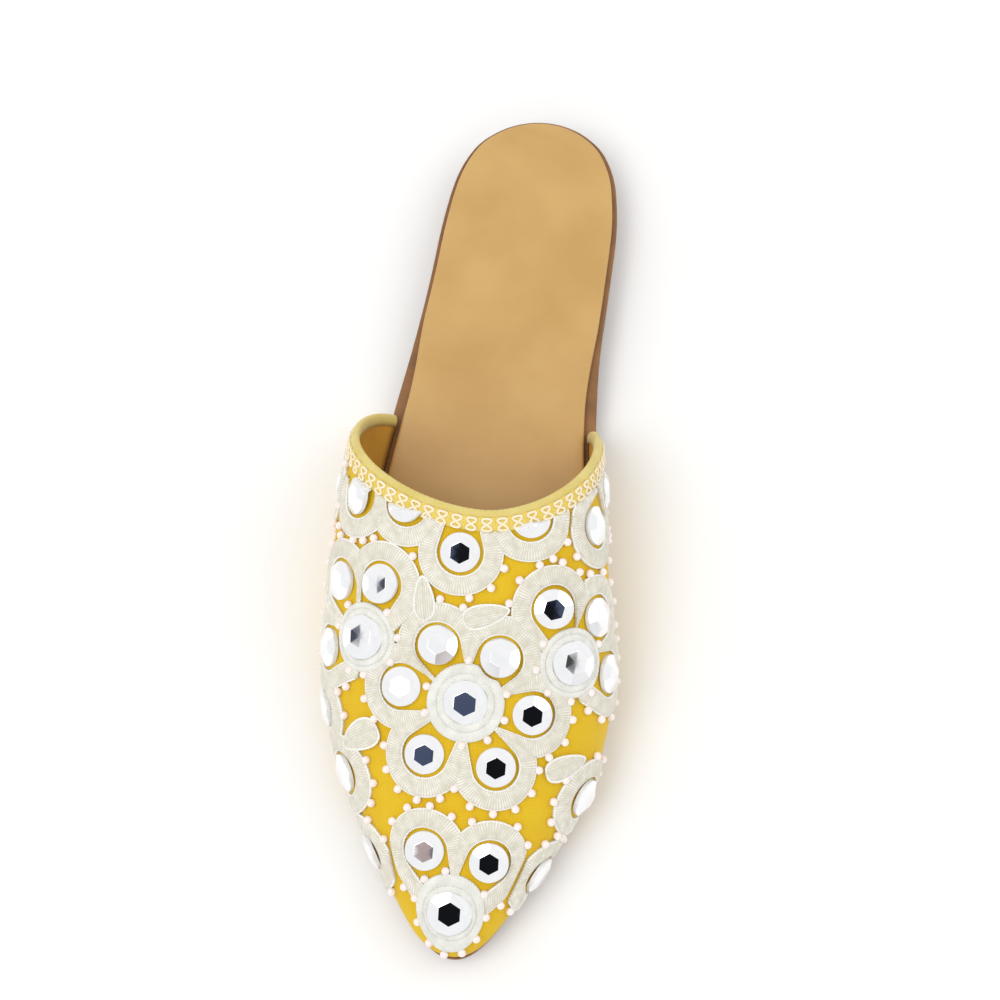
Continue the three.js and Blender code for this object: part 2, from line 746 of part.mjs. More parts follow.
// Bands are stitched one after another, so that each lies a little over the one before
FLOWERS.forEach(({ name, panel, station, bearing, ring, petals }, order) => {
  const frame = wallFrame(station, bearing);
  const flowerLift = FLOWER_LIFT * order;
  addToPanel(panel, ringBand(frame, ring, flowerLift + 2 * PETAL_LIFT));
  addStone(name, frame, origin, BIG_STONE_RADIUS);
  petals.forEach(([facing, reach], i) => {
    const centre = petalCentre(facing, reach);
    const lift = flowerLift + PETAL_LIFT * (i % 2);
    addToPanel(panel, petalBand(frame, centre, facing, armLength(reach, ring), lift));
    addStone(`${name}_${i + 1}`, frame, centre, STONE_RADIUS);
  });
});

SCALLOPS.forEach(({ name, panel, station, bearing, facing }, order) => {
  const frame = wallFrame(station, bearing);
  const lift = SCALLOP_LIFT + PETAL_LIFT * (order % 2);
  addToPanel(panel, petalBand(frame, origin, facing, SCALLOP_ARM, lift));
  addStone(name, frame, origin, STONE_RADIUS);
});

LEAVES.forEach(({ panel, station, bearing, facing, length, width }) => {
  addToPanel(panel, leafBand(wallFrame(station, bearing), facing, length, width));
});

for (const [panel, solid] of Object.entries(panels)) {
  const pierced = stoneHoles.reduce((band, hole) => band.subtract(hole), trimmed(solid));
  addPiece(`embroidery_${panel}`, fromManifold(pierced), 'thread');
}

const box = new THREE.Box3().setFromObject(group);
const middle = box.getCenter(new THREE.Vector3());
group.position.set(-middle.x, -middle.y, -box.min.z);

export default group;
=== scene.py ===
"""Embroidered pointed mule for the right foot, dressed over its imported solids.

Shapes are worked out in the shoe's own millimetres: x to the inner (medial) side, y the station from toe to
heel, z up from the floor. place_in_frame moves them to the row frame, in metres.
"""

from collections import defaultdict
from types import SimpleNamespace

import bmesh
import bpy
import numpy as np
from mathutils import Matrix, Vector


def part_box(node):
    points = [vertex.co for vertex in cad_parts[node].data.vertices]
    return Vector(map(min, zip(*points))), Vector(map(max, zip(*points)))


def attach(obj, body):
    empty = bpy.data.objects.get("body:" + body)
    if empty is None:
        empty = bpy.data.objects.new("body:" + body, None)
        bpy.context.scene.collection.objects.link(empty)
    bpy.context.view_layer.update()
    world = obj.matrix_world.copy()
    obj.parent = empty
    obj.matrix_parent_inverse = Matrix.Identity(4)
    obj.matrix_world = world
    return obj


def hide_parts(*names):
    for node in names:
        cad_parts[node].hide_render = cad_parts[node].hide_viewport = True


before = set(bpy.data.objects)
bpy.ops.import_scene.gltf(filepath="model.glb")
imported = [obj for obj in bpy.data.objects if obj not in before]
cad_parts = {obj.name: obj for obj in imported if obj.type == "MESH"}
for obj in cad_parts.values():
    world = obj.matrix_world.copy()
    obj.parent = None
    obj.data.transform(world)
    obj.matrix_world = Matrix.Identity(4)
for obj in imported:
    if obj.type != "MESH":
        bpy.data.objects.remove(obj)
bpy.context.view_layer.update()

# Metres in a millimetre, and the distance in metres below which vertices are welded
MM = 0.001
WELD_DISTANCE = 1e-6

# Sole, insole and heel. The low gap lies under what is glued or sewn down
LENGTH = 262
GAP = 0.3
LOW_GAP = 0.09
SOLE_THICKNESS = 4
SOLE_LEDGE = 0.7
SOLE_LOW_ROUND = 0.8
SOLE_HIGH_ROUND = 0.5
INSOLE_THICKNESS = 2.4
INSOLE_LOW_ROUND = 0.2
INSOLE_HIGH_ROUND = 0.9
INSOLE_DISH = 0.5
DISH_FULL_WIDTH = 40
INSOLE_BACK_INSET = 0.8
INSOLE_WALL_CLEARANCE = 1.2
INSOLE_FLARE_START = 6
INSOLE_FLARE_END = 36
HEEL_BREAST = 204
HEEL_INSET = 0.8
HEEL_TAPER = 1.6
HEEL_ROUND = 0.6

# Vamp: wall, the feather line's largest share of the half width, and the spans of its columns over the crown
# and over each side below it
WALL = 1.7
FEATHER_LIMIT = 0.999
CROWN_SPAN = 20
SIDE_SPAN = 3
FULL_SPAN = CROWN_SPAN + 2 * SIDE_SPAN

# Collar: seen from the side the topline is a quarter of a superellipse, from the throat down to the sole
THROAT_STATION = 118.6
WING_STATION = 159.4
TOPLINE_POWER = 1.42
TOPLINE_STEPS = 521
BINDING_RISE = 1.9
BINDING_HALF_THICKNESS = 1.3
BINDING_FRONT = 0.5
BINDING_FRONT_LIFT = 0.8
BINDING_TAIL = 1.6
BINDING_TAIL_LIFT = -0.7
BINDING_PUCKER = 0.06
BINDING_PUCKER_SPACING = 3.4
BINDING_PUCKER_SHARPNESS = 8
BINDING_END = 0.004
TRIM_END = 0.02
BRAID_START = 0.2
BRAID_WIDTH = 4
BRAID_EDGE = BRAID_START + BRAID_WIDTH
BRAID_THICKNESS = 0.6
BRAID_SCALLOP = 0.12
BRAID_REPEAT = 4.1
BRAID_LOOP_REACH = 1.7
BRAID_LOOP_WIDTH = 1.25
BRAID_LOOP_RADIUS = 0.38
BRAID_LOOP_LIFT = 0.1
BRAID_LOOP_CROSSING = 0.12
BRAID_TUCK = 2

# Section of the braid: shares of its width and of its thickness
BRAID_SECTION = [
    (0, 0.1), (0, 0.45), (0.06, 0.8), (0.25, 0.95), (0.5, 1),
    (0.75, 0.95), (0.94, 0.8), (1, 0.45), (1, 0.1), (0, 0.1),
]

# Embroidery: bands of satin stitch around the stones, white cord along their edges, pearls outside. Under the
# braid and at the sole its height fades out
PETAL_RADIUS = 9.5
PETAL_ARC = 105
PETAL_SWEEP = 165
SCALLOP_SWEEP = 150
RING_SWEEP = 180
BAND_WIDTH = 5.6
BAND_TIP_WIDTH = 1.6
BAND_TAPER = 0.1
BAND_EDGE_HEIGHT = 0.6
BAND_CROWN = 0.6
BAND_SQUARENESS = 4
BAND_ROOT = 0.2
BAND_OVERLAP = 0.4
STITCH_SPACING = 0.7
STITCH_RISE = 0.09
COIL_SEAM = 8.3
COIL_EDGE_HEIGHT = 0.9
COIL_CROWN = 0.5
RING_TUCK = 1.5
CORD_RADIUS = 0.4
CORD_INSET = 0.3
CORD_HEIGHT = 0.65
CORD_INNER_ROOM = 1
CORD_OUTER_ROOM = 0.1
EMBROIDERY_FOOT = 1
FOOT_FADE = 0.6
BRAID_FADE = 0.8
BRAID_FADE_UNDER = 0.3
BRAID_FADE_LEAST = 0.1
PEARL_RADIUS = 1.25
PEARL_SPACING = 6.4
PEARL_OFFSET = 0.9
PEARL_HEIGHT = 0.8
PEARL_APART = 2.8
PEARL_LEAF_GAP = 0.5
PEARL_BAND_GAP = 0.3
PEARL_OVER_BAND = 0.5
PEARL_SEAM = (0, 1, 0.3)
LEAF_BELLY = 0.6
LEAF_BLUNTNESS = 0.6
LEAF_LIFT = 0.35
LEAF_VEIN_DEPTH = 0.3
LEAF_VEIN_WIDTH = 0.12
LEAF_STITCH_SLANT = 0.6
LEAF_FULL_WIDTH = 1.5

# Columns across a band, a coil and a leaf, as shares of the width or, for a leaf, of half of it each way
BAND_COLUMNS = np.array([0, 0, 0.08, 0.22, 0.4, 0.6, 0.78, 0.92, 1, 1, 0])
COIL_COLUMNS = np.array([0, 0.04, 0.15, 0.35, 0.65, 0.85, 0.96])
LEAF_COLUMNS = np.array([-1, -1, -0.8, -0.5, -0.2, -0.06, 0, 0.06, 0.2, 0.5, 0.8, 1, 1, -1])

# Cut stones: round girdle, six slanted facets and a six-sided table
STONE_RADIUS = 5.6
BIG_STONE_RADIUS = 6.4
STONE_HEIGHT = 2
STONE_SEAT = 0.2
STONE_TABLE = 0.56
STONE_SLOPE = 0.46
STONE_GAP = 0.35
STONE_DOME = 0.025
STONE_BEVEL = 0.03
STONE_SLIP_UNDER = 0.4
STONE_SLIP_SLOPE = 1.4
RING_OVER_STONE = 0.2

# Smallest station that the embroidery reaches, distance between motifs that can meet, and a far distance
FIRST_STATION = 0.15
NEIGHBOUR_REACH = 32
FAR_AWAY = 99

# Sockets of the colour mixing node, the two values that most of a noise texture lies between, the waver of
# threads, the sheen of silky ones, and the sizes of grain, fibres and lifts
MIX_FACTOR, MIX_A, MIX_B, MIX_RESULT = 0, 6, 7, 2
NOISE_LOW = 0.33
NOISE_HIGH = 0.67
THREAD_WAVER = 0.6
SILKY = {"Sheen Weight": 0.3, "Sheen Roughness": 0.35}
GRAIN_SIZE = 0.9
FIBRE_SIZE = 0.8
LIFT_THICKNESS = 2.4

# Room light: strength, and its darker zones, each with direction, half angle and colour. One lies in front,
# and each side has a narrow gap between the lamps
ROOM_STRENGTH = 0.95
ROOM_FRONT = (0.05, -0.5, 0.85)
ROOM_LATERAL = (-0.75, -0.08, 0.66)
ROOM_MEDIAL = (0.795, -0.09, 0.6)
ROOM_ZONE_BLUR = 0.6
ROOM_ZONES = [
    (ROOM_FRONT, 18.5, "#B8A5A3"),
    (ROOM_FRONT, 15, "#49536C"),
    (ROOM_FRONT, 9, "#15161A"),
    (ROOM_LATERAL, 1.7, "#3F4152"),
    (ROOM_MEDIAL, 1.7, "#3A3F3A"),
]

# Floor and softboxes: sizes and places in metres, powers in watts
FLOOR_SIZE = 10
SOFTBOX_SIZE = 0.6
SOFTBOXES = [
    ("key_softbox", (-0.35, -0.25, 0.95), 3),
    ("fill_softbox", (0.7, 0.3, 0.7), 1),
]

# Photograph's camera: place, directions and focal length in picture widths
CAMERA_PLACE = (49.3, -11.8, 570)
CAMERA_FORWARD = (-0.024, 0.2577, -0.9659)
CAMERA_RIGHT = (0.9957, 0.0925, 0)
CAMERA_AIM = (0, 134, 20)
FOCAL_WIDTHS = 1.9
SENSOR_MM = 36


def end_angle(station):
    """Angle that runs evenly round the ends: the arc cosine of one minus twice the share of the length."""
    return np.arccos(np.clip(1 - 2 * np.asarray(station, float) / LENGTH, -1, 1))


def smooth_column(stations, values):
    """Monotone cubic through a column over the end angle: the slope at a row is the weighted harmonic mean of
    the secants beside it, zero where they differ in sign, and the secant itself at both ends."""
    knots = end_angle(stations)
    values = np.asarray(values, float)
    steps = np.diff(knots)
    secants = np.diff(values) / steps
    first, second = secants[:-1], secants[1:]
    before = 2 * steps[1:] + steps[:-1]
    after = steps[1:] + 2 * steps[:-1]
    agree = first * second > 0
    mean = (before + after) / (before / np.where(agree, first, 1) + after / np.where(agree, second, 1))
    slopes = np.concatenate([secants[:1], np.where(agree, mean, 0), secants[-1:]])

    def curve(station):
        """Cubic between the two rows beside a station, from their values and slopes."""
        angle = np.clip(end_angle(station), knots[0], knots[-1])
        row = np.clip(np.searchsorted(knots, angle, side="right") - 1, 0, len(steps) - 1)
        share = (angle - knots[row]) / steps[row]
        rise = share * share * (3 - 2 * share)
        lead = share * (1 - share) ** 2 * steps[row] * slopes[row]
        trail = share * share * (1 - share) * steps[row] * slopes[row + 1]
        return values[row] + rise * (values[row + 1] - values[row]) + lead - trail

    return curve


def curves(columns, rows):
    """Each named column of a table as a smooth function of the station, which is the first column."""
    stations, *values = zip(*rows)
    return SimpleNamespace(**{name: smooth_column(stations, v) for name, v in zip(columns[1:], values)})


# Outer face of the vamp: half widths, height of the widest place, height and sideways place of the ridge,
# and the power of the rounded crown
LAST = curves(("station", "lateral", "medial", "widest", "ridge", "ridge_x", "power"), [
    (0, 0, 0, 10.6, 12.2, 0, 2),
    (4, 9.6, 8.6, 10.8, 16, 0.2, 2),
    (10, 14.8, 13.3, 11, 19.9, 0.4, 2),
    (20, 21.3, 19.2, 11.3, 24.8, 0.5, 2.05),
    (35, 30, 27.2, 11.8, 30.5, 0.3, 2.1),
    (55, 39.8, 36.2, 13, 37, 0, 2.15),
    (80, 46.6, 39.2, 15.5, 44.6, -0.5, 2.2),
    (105, 47.6, 36.2, 20, 53.2, -1, 2.2),
    (125, 46.4, 32.6, 25, 60.5, -1.5, 2.15),
    (145, 45, 29.6, 28, 67.5, -2, 2.1),
    (165, 41.5, 27.2, 28, 74, -3, 2.1),
    (185, 36, 26, 28, 80, -4, 2.1),
])

# Plan of the sole at the feather line, where vamp and sole meet
PLAN = curves(("station", "lateral", "medial"), [
    (0, 0, 0),
    (4, 8.2, 7.4),
    (10, 13.1, 11.9),
    (20, 19.2, 17.3),
    (35, 27.4, 24.8),
    (55, 36.2, 32.8),
    (80, 42.2, 36.2),
    (105, 43, 33.8),
    (125, 41.6, 30.2),
    (145, 39.2, 27.2),
    (165, 36, 25.2),
    (185, 32.6, 24.4),
    (205, 30, 25.2),
    (225, 28.2, 25.8),
    (240, 25.8, 24.4),
    (252, 20.6, 19.8),
    (258, 13.9, 13.5),
    (262, 0, 0),
])

# Side profile of the sole's top: toe spring, flat tread, arch and heel seat
PROFILE = curves(("station", "top"), [
    (0, 8.2),
    (20, 6.2),
    (40, 4.8),
    (58, 4),
    (85, 4),
    (112, 4),
    (125, 4.6),
    (145, 6.2),
    (165, 8.4),
    (185, 10.4),
    (205, 11.7),
    (225, 12),
    (262, 12),
])

# Flowers: name, panel, station and bearing of the middle, outer radius of the ring, and the direction and
# distance of each petal
FLOWERS = [
    ("centre", "vamp", 68.8, -2.2, 11.2, [
        (357, 20.8), (57, 15.9), (121, 17.9), (171, 20.4), (235, 18.8), (301, 20),
    ]),
    ("toe", "toe", 12, -8, 11.8, [(54, 20.4), (117, 20.4)]),
    ("lateral", "vamp", 85, -54, 10, [(66, 16.4), (121, 19.6), (186, 19)]),
    ("medial", "vamp", 83.5, 51, 10, [(0, 19), (62, 16.6), (124, 16.8)]),
]

# Single petals: name, panel, station, bearing and the direction of the closed side
SCALLOPS = [
    ("collar_front", "collar", 108.9, -8.8, 270),
    ("collar_front_lateral", "collar", 121.3, -34, 275),
    ("collar_front_medial", "collar", 120, 23, 265),
    ("collar_side_lateral", "collar", 124.5, -58, 290),
    ("collar_side_medial", "wing_medial", 123.3, 62.5, 250),
    ("wing_lateral", "wing_lateral", 132, -88, 300),
    ("wing_medial", "wing_medial", 137, 85, 240),
    ("edge_back_lateral", "vamp", 67, -85, 0),
    ("edge_front_lateral", "vamp", 48.5, -80, 0),
    ("edge_front_medial", "edge_medial", 48.6, 82, 180),
    ("toe_side_lateral", "toe_lateral", 27.5, -88, 0),
    ("toe_side_medial", "toe_medial", 25.8, 87.5, 180),
]

# Leaves: panel, station, bearing, direction of the tip, length and width
LEAVES = [
    ("vamp", 96.2, -25.5, 95, 12, 5.8),
    ("vamp", 92.8, 6, 20, 13, 6.4),
    ("vamp", 58, -62, 200, 14, 8.4),
    ("leaf_medial", 55.5, 60, 30, 13, 6.6),
]

# Lean of a stone on its glue, as slopes to the medial side and to the heel
STONE_LEAN = {
    "centre": (-0.025, -0.05),
    "centre_1": (-0.2, -0.05),
    "centre_2": (0.017, 0.3),
    "centre_3": (0.133, 0.3),
    "centre_4": (0.12, 0.08),
    "centre_5": (0.13, -0.01),
    "centre_6": (-0.05, -0.02),
    "toe": (0.1, 0.16),
    "toe_1": (-0.14, 0.08),
    "toe_2": (0.14, 0.08),
    "lateral": (0.18, 0.12),
    "lateral_1": (0.06, 0.14),
    "medial": (-0.1, 0.06),
    "medial_3": (-0.33, -0.13),
    "collar_front": (0.06, -0.03),
    "collar_front_lateral": (-0.1, 0.14),
    "collar_front_medial": (-0.04, 0.01),
    "collar_side_lateral": (-0.2, 0),
}


def shoe_shift(steps=2000):
    """From the shoe's millimetres to the row frame: the sole's box shows where its toe and its middle lie."""
    low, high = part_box("outsole")
    stations = np.linspace(0, LENGTH, steps)
    middle = (PLAN.medial(stations).max() - PLAN.lateral(stations).max()) / 2
    across = (low.x + high.x) / (2 * MM) - middle
    return np.array([across, low.y / MM + SOLE_LEDGE, low.z / MM])


SHIFT = shoe_shift()


def place_in_frame(points):
    """Shoe millimetres to metres in the row frame: the shift added, then scaled."""
    return (np.asarray(points, float) + SHIFT) * MM


def dot(a, b):
    """Sum of the products along the last axis, which stays as an axis of one."""
    return np.sum(a * b, axis=-1, keepdims=True)


def unit(vectors):
    """Vectors over their own lengths."""
    return vectors / np.maximum(np.linalg.norm(vectors, axis=-1, keepdims=True), 1e-12)


def smoothstep(value, low, high):
    """Rise from 0 to 1 between two values: three squares less two cubes of the share of the way."""
    share = np.clip((value - low) / (high - low), 0, 1)
    return share * share * (3 - 2 * share)


def circle_points(angle, radius):
    """Flat points at an angle and a radius: the radius times cosine and sine."""
    return np.stack([radius * np.cos(angle), radius * np.sin(angle)], axis=-1)


def section(station):
    """Cross-section at a station: its centre, crown height and, for each side, half width and skirt depth.
    The skirt is the ellipse below the widest place that passes through the feather line."""
    station = np.maximum(station, 1e-9)
    x = LAST.ridge_x(station)
    z = LAST.widest(station)
    foot = PROFILE.top(station) + GAP
    lateral = LAST.lateral(station) + x
    medial = LAST.medial(station) - x
    lateral_share = np.minimum((PLAN.lateral(station) + x) / lateral, FEATHER_LIMIT)
    medial_share = np.minimum((PLAN.medial(station) - x) / medial, FEATHER_LIMIT)
    return SimpleNamespace(
        x=x, z=z, foot=foot, crown=LAST.ridge(station) - z, power=LAST.power(station),
        lateral=lateral, lateral_skirt=(z - foot) / np.sqrt(1 - lateral_share ** 2),
        medial=medial, medial_skirt=(z - foot) / np.sqrt(1 - medial_share ** 2),
    )


def side_of(cut, is_lateral):
    """Half width and skirt depth of a section on the side that each point lies on."""
    half = np.where(is_lateral, cut.lateral, cut.medial)
    return half, np.where(is_lateral, cut.lateral_skirt, cut.medial_skirt)


def wall_ratio(points):
    """1 on the vamp's outer face, more outside: both half-axis shares to the section's power, summed, and the
    root of that."""
    cut = section(points[..., 1])
    dx = points[..., 0] - cut.x
    dz = points[..., 2] - cut.z
    half, skirt = side_of(cut, dx < 0)
    power = np.where(dz > 0, cut.power, 2)
    height = np.where(dz > 0, cut.crown, skirt)
    return ((np.abs(dx) / half) ** power + (np.abs(dz) / height) ** power) ** (1 / power)


def wall_normal(points, reach=0.05):
    """Outward normal of the outer face: the slope of the ratio along x, y and z."""
    slopes = [wall_ratio(points + step) - wall_ratio(points - step) for step in reach * np.eye(3)]
    return unit(np.stack(slopes, axis=-1))


def onto_wall(points):
    """Moves points within their own cross-section straight out or in to the outer face."""
    cut = section(points[..., 1])
    centre = np.stack([cut.x, points[..., 1], cut.z], axis=-1)
    return centre + (points - centre) / wall_ratio(points)[..., None]


def wall_point(station, bearing):
    """Point of the outer face at a station and a bearing from the ridge, in degrees, medial side positive."""
    cut = section(station)
    angle = np.radians(bearing)
    return onto_wall(np.stack([cut.x + np.sin(angle), np.asarray(station, float), cut.z + np.cos(angle)]))


def frame_at(origin, towards_medial):
    """Flat working frame on the vamp: across to the medial side, along to the heel, out along the normal."""
    out = wall_normal(origin)
    across = unit(towards_medial - dot(towards_medial, out) * out)
    return SimpleNamespace(origin=origin, across=across, along=np.cross(out, across), out=out)


def wall_frame(station, bearing):
    """Working frame at a station and bearing, turned along the line of equal station."""
    return frame_at(
        wall_point(station, bearing),
        wall_point(station, bearing + 1) - wall_point(station, bearing - 1),
    )


def flat_place(working, place):
    """Steps across and along from a working frame's origin to a place."""
    gap = place - working.origin
    return np.array([gap @ working.across, gap @ working.along])


def seat_at(working, flat):
    """Seats on the vamp for flat points of a working frame, none before the first station."""
    place = working.origin + flat[..., :1] * working.across + flat[..., 1:] * working.along
    place[..., 1] = np.maximum(place[..., 1], FIRST_STATION)
    return onto_wall(place)


def topline_value(points):
    """Below zero in front of the topline: the superellipse's equation, and its slopes along y and z."""
    foot = PROFILE.top(WING_STATION)
    height = LAST.ridge(THROAT_STATION) - foot
    depth = WING_STATION - THROAT_STATION
    back = np.maximum((points[..., 1] - THROAT_STATION) / depth, 0)
    rise = np.maximum((points[..., 2] - foot) / height, 0)
    steep = TOPLINE_POWER - 1
    slope = TOPLINE_POWER * np.stack([0 * back, back ** steep / depth, rise ** steep / height], axis=-1)
    return back ** TOPLINE_POWER + rise ** TOPLINE_POWER - 1, slope


def distance_to_topline(points):
    """Distance in front of the topline, measured along the wall, and the direction towards it: the equation's
    value over the length of its slope along the wall."""
    value, slope = topline_value(points)
    normal = wall_normal(points)
    slope = slope - dot(slope, normal) * normal
    length = np.linalg.norm(slope, axis=-1) + 1e-6
    return -value / length, slope / length[..., None]


def clear_of_trims(seats, passes=3):
    """Keeps seats off the sole and inside the topline: they stop a little above the one and under the braid.
    Also gives the share of the height that is left there."""
    low = PROFILE.top(seats[..., 1]) + EMBROIDERY_FOOT
    above = seats[..., 2] - low
    cut = section(seats[..., 1])
    dx = seats[..., 0] - cut.x
    half, skirt = side_of(cut, dx < 0)
    drop = np.clip((cut.z - low) / skirt, 0, 1)
    foot_x = cut.x + np.sign(dx) * half * np.sqrt(1 - drop ** 2)
    at_foot = np.stack([foot_x, seats[..., 1], low], axis=-1)
    seats = np.where((above < 0)[..., None], at_foot, seats)
    reach, _towards = distance_to_topline(seats)
    left = np.clip((reach - BRAID_EDGE + BRAID_FADE_UNDER) / BRAID_FADE, BRAID_FADE_LEAST, 1)
    for _ in range(passes):
        reach, towards = distance_to_topline(seats)
        back = np.maximum(BRAID_TUCK - reach, 0)
        seats = onto_wall(seats - towards * back[..., None])
    return seats, np.clip(above / FOOT_FADE, 0, 1) * left


def lay(working, flat, height):
    """Lays flat points of a working frame on the vamp, raised by a height along the normal."""
    seats, room = clear_of_trims(seat_at(working, flat))
    return seats + wall_normal(seats) * (height * room)[..., None]


def run_lengths(points):
    """Length along a row of points from its first one to each: the sum of the steps between them."""
    steps = np.linalg.norm(np.diff(points, axis=-2), axis=-1)
    return np.concatenate([np.zeros_like(steps[..., :1]), np.cumsum(steps, axis=-1)], axis=-1)


def girth_uv(points):
    """Surface lengths in millimetres from the middle column: across along each row, along down it."""
    middle = points.shape[-2] // 2
    u = run_lengths(points)
    u = u - u[..., middle:middle + 1]
    v = run_lengths(points[..., middle, :])
    return np.stack([u, np.broadcast_to(v[..., None], u.shape)], axis=-1)


def patch(points, uv=None, material=0, smooth=True):
    """Grid of points, or several grids of one size, with surface coordinates and a material number, which is
    one for all cells or one for each."""
    shape = points.shape[-3:-1]
    grids = points.reshape(-1, *shape, 3)
    drawn = girth_uv(points) if uv is None else np.broadcast_to(uv, points.shape[:-1] + (2,))
    return SimpleNamespace(points=grids, uv=drawn.reshape(-1, *shape, 2), material=material, smooth=smooth)


def corners(grid):
    """The four corners of each cell of a grid, or of what is held at its points, in turn."""
    return grid[..., :-1, :-1], grid[..., :-1, 1:], grid[..., 1:, 1:], grid[..., 1:, :-1]


def add_object(name, data):
    """New object in the scene, at the origin."""
    made = bpy.data.objects.new(name, data)
    bpy.context.scene.collection.objects.link(made)
    return made


def make_piece(name, patches, materials, replaced=()):
    """One object from grids: each cell of a grid is a face, and edges that coincide are welded shut."""
    faces, numbers, smooth = [], [], []
    start = 0
    for grid in patches:
        index = start + np.arange(grid.points[..., 0].size).reshape(grid.points.shape[:3])
        cells = np.stack(corners(index), axis=-1)
        faces.append(cells.reshape(-1, 4))
        numbers.append(np.broadcast_to(grid.material, cells.shape[:3]).ravel())
        smooth.append(np.full(len(faces[-1]), grid.smooth))
        start += index.size
    faces = np.concatenate(faces)
    vertices = np.concatenate([grid.points.reshape(-1, 3) for grid in patches])
    uvs = np.concatenate([grid.uv.reshape(-1, 2) for grid in patches])
    mesh = bpy.data.meshes.new(name)
    mesh.from_pydata(place_in_frame(vertices).tolist(), [], faces.tolist())
    layer = mesh.uv_layers.new(name="cut")
    layer.uv.foreach_set("vector", uvs[faces].astype(np.float32).ravel())
    mesh.polygons.foreach_set("material_index", np.concatenate(numbers).astype(np.int32))
    mesh.polygons.foreach_set("use_smooth", np.concatenate(smooth))
    welded = bmesh.new()
    welded.from_mesh(mesh)
    bmesh.ops.remove_doubles(welded, verts=welded.verts, dist=WELD_DISTANCE)
    bmesh.ops.recalc_face_normals(welded, faces=welded.faces)
    welded.to_mesh(mesh)
    welded.free()
    for material in materials:
        mesh.materials.append(material)
    piece = add_object(name, mesh)
    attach(piece, "root")
    if replaced:
        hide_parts(*replaced)


def lid(ring):
    """Closes a ring of points with a fan to its middle: a grid of the ring and its repeated middle."""
    middle = np.broadcast_to(ring.mean(axis=-2, keepdims=True), ring.shape)
    return np.stack([ring, middle], axis=-3)


def closed_run(points):
    """Rings carried along a run, with a lid at either end."""
    return [patch(points), patch(lid(points[0])), patch(lid(points[-1]))]


def tube(path, outward, radius, sides=6):
    """Round profile carried along a path: circles in the plane of the outward normal and the sideways one."""
    run = unit(np.gradient(path, axis=-2))
    sideways = unit(np.cross(run, outward))
    upright = np.cross(sideways, run)
    turn = np.linspace(0, 2 * np.pi, sides + 1)[:, None]
    circle = np.cos(turn) * upright[..., None, :] + np.sin(turn) * sideways[..., None, :]
    return path[..., None, :] + radius * circle


def linear(code):
    """sRGB hex colour to linear red, green, blue and full alpha."""
    parts = np.array([int(code[i:i + 2], 16) for i in (1, 3, 5)]) / 255
    light = np.where(parts <= 0.04045, parts / 12.92, ((parts + 0.055) / 1.055) ** 2.4)
    return (*light.tolist(), 1)


def add_node(tree, kind, values=None, links=None, **settings):
    """One node with its settings, its socket values and its links from other sockets."""
    made = tree.nodes.new("ShaderNode" + kind)
    for key, value in settings.items():
        setattr(made, key, value)
    for socket, value in (values or {}).items():
        made.inputs[socket].default_value = value
    for socket, source in (links or {}).items():
        tree.links.new(source, made.inputs[socket])
    return made


def mix_colours(tree, share, start, end):
    """Colour a share of the way from a start to an end, each a hex code or another node's colour."""
    ends = {MIX_A: start, MIX_B: end}
    fixed = {socket: linear(colour) for socket, colour in ends.items() if isinstance(colour, str)}
    linked = {socket: colour for socket, colour in ends.items() if socket not in fixed}
    mix = add_node(tree, "Mix", fixed, {MIX_FACTOR: share, **linked}, data_type="RGBA")
    return mix.outputs[MIX_RESULT]


def start_material(name, sockets, low, high, patches, solid=False):
    """Material with one shader whose constant sockets are set on it. Its colour drifts between two shades in
    soft patches of a size in millimetres, over the piece's surface or, for a block, through its solid."""
    material = bpy.data.materials.new(name)
    material.use_nodes = True
    tree = material.node_tree
    surface = tree.nodes["Principled BSDF"]
    for socket, value in sockets.items():
        surface.inputs[socket].default_value = value
    if solid:
        place = add_node(tree, "TexCoord").outputs["Object"]
        where = add_node(tree, "Mapping", {"Scale": [1 / MM] * 3}, {"Vector": place}).outputs["Vector"]
    else:
        where = add_node(tree, "UVMap", uv_map="cut").outputs["UV"]
    noise = add_node(tree, "TexNoise", {"Scale": 1 / patches, "Detail": 4}, {"Vector": where})
    limits = {"From Min": NOISE_LOW, "From Max": NOISE_HIGH}
    share = add_node(tree, "MapRange", limits, {"Value": noise.outputs["Fac"]})
    colour = mix_colours(tree, share.outputs["Result"], low, high)
    tree.links.new(colour, surface.inputs["Base Color"])
    return SimpleNamespace(material=material, tree=tree, surface=surface, where=where, colour=colour)


def add_relief(made, height, depth, strength=1, dip_shade_and_joint=None):
    """Relief of a depth in millimetres from a height between 0 and 1. The colour of the dips, where given,
    shows as far as the height falls: on cloth and thread it is painted shade in the hollows, on the heel
    lifts the darker joints between the layers."""
    values = {"Strength": strength, "Distance": depth * MM}
    bump = add_node(made.tree, "Bump", values, {"Height": height})
    made.tree.links.new(bump.outputs["Normal"], made.surface.inputs["Normal"])
    if dip_shade_and_joint:
        colour = mix_colours(made.tree, height, dip_shade_and_joint, made.colour)
        made.tree.links.new(colour, made.surface.inputs["Base Color"])
    return made.material


def wave_scale(spacing):
    """Wave texture scale that gives one line each spacing, in millimetres: it draws 20 radians a unit."""
    return 2 * np.pi / 20 / spacing


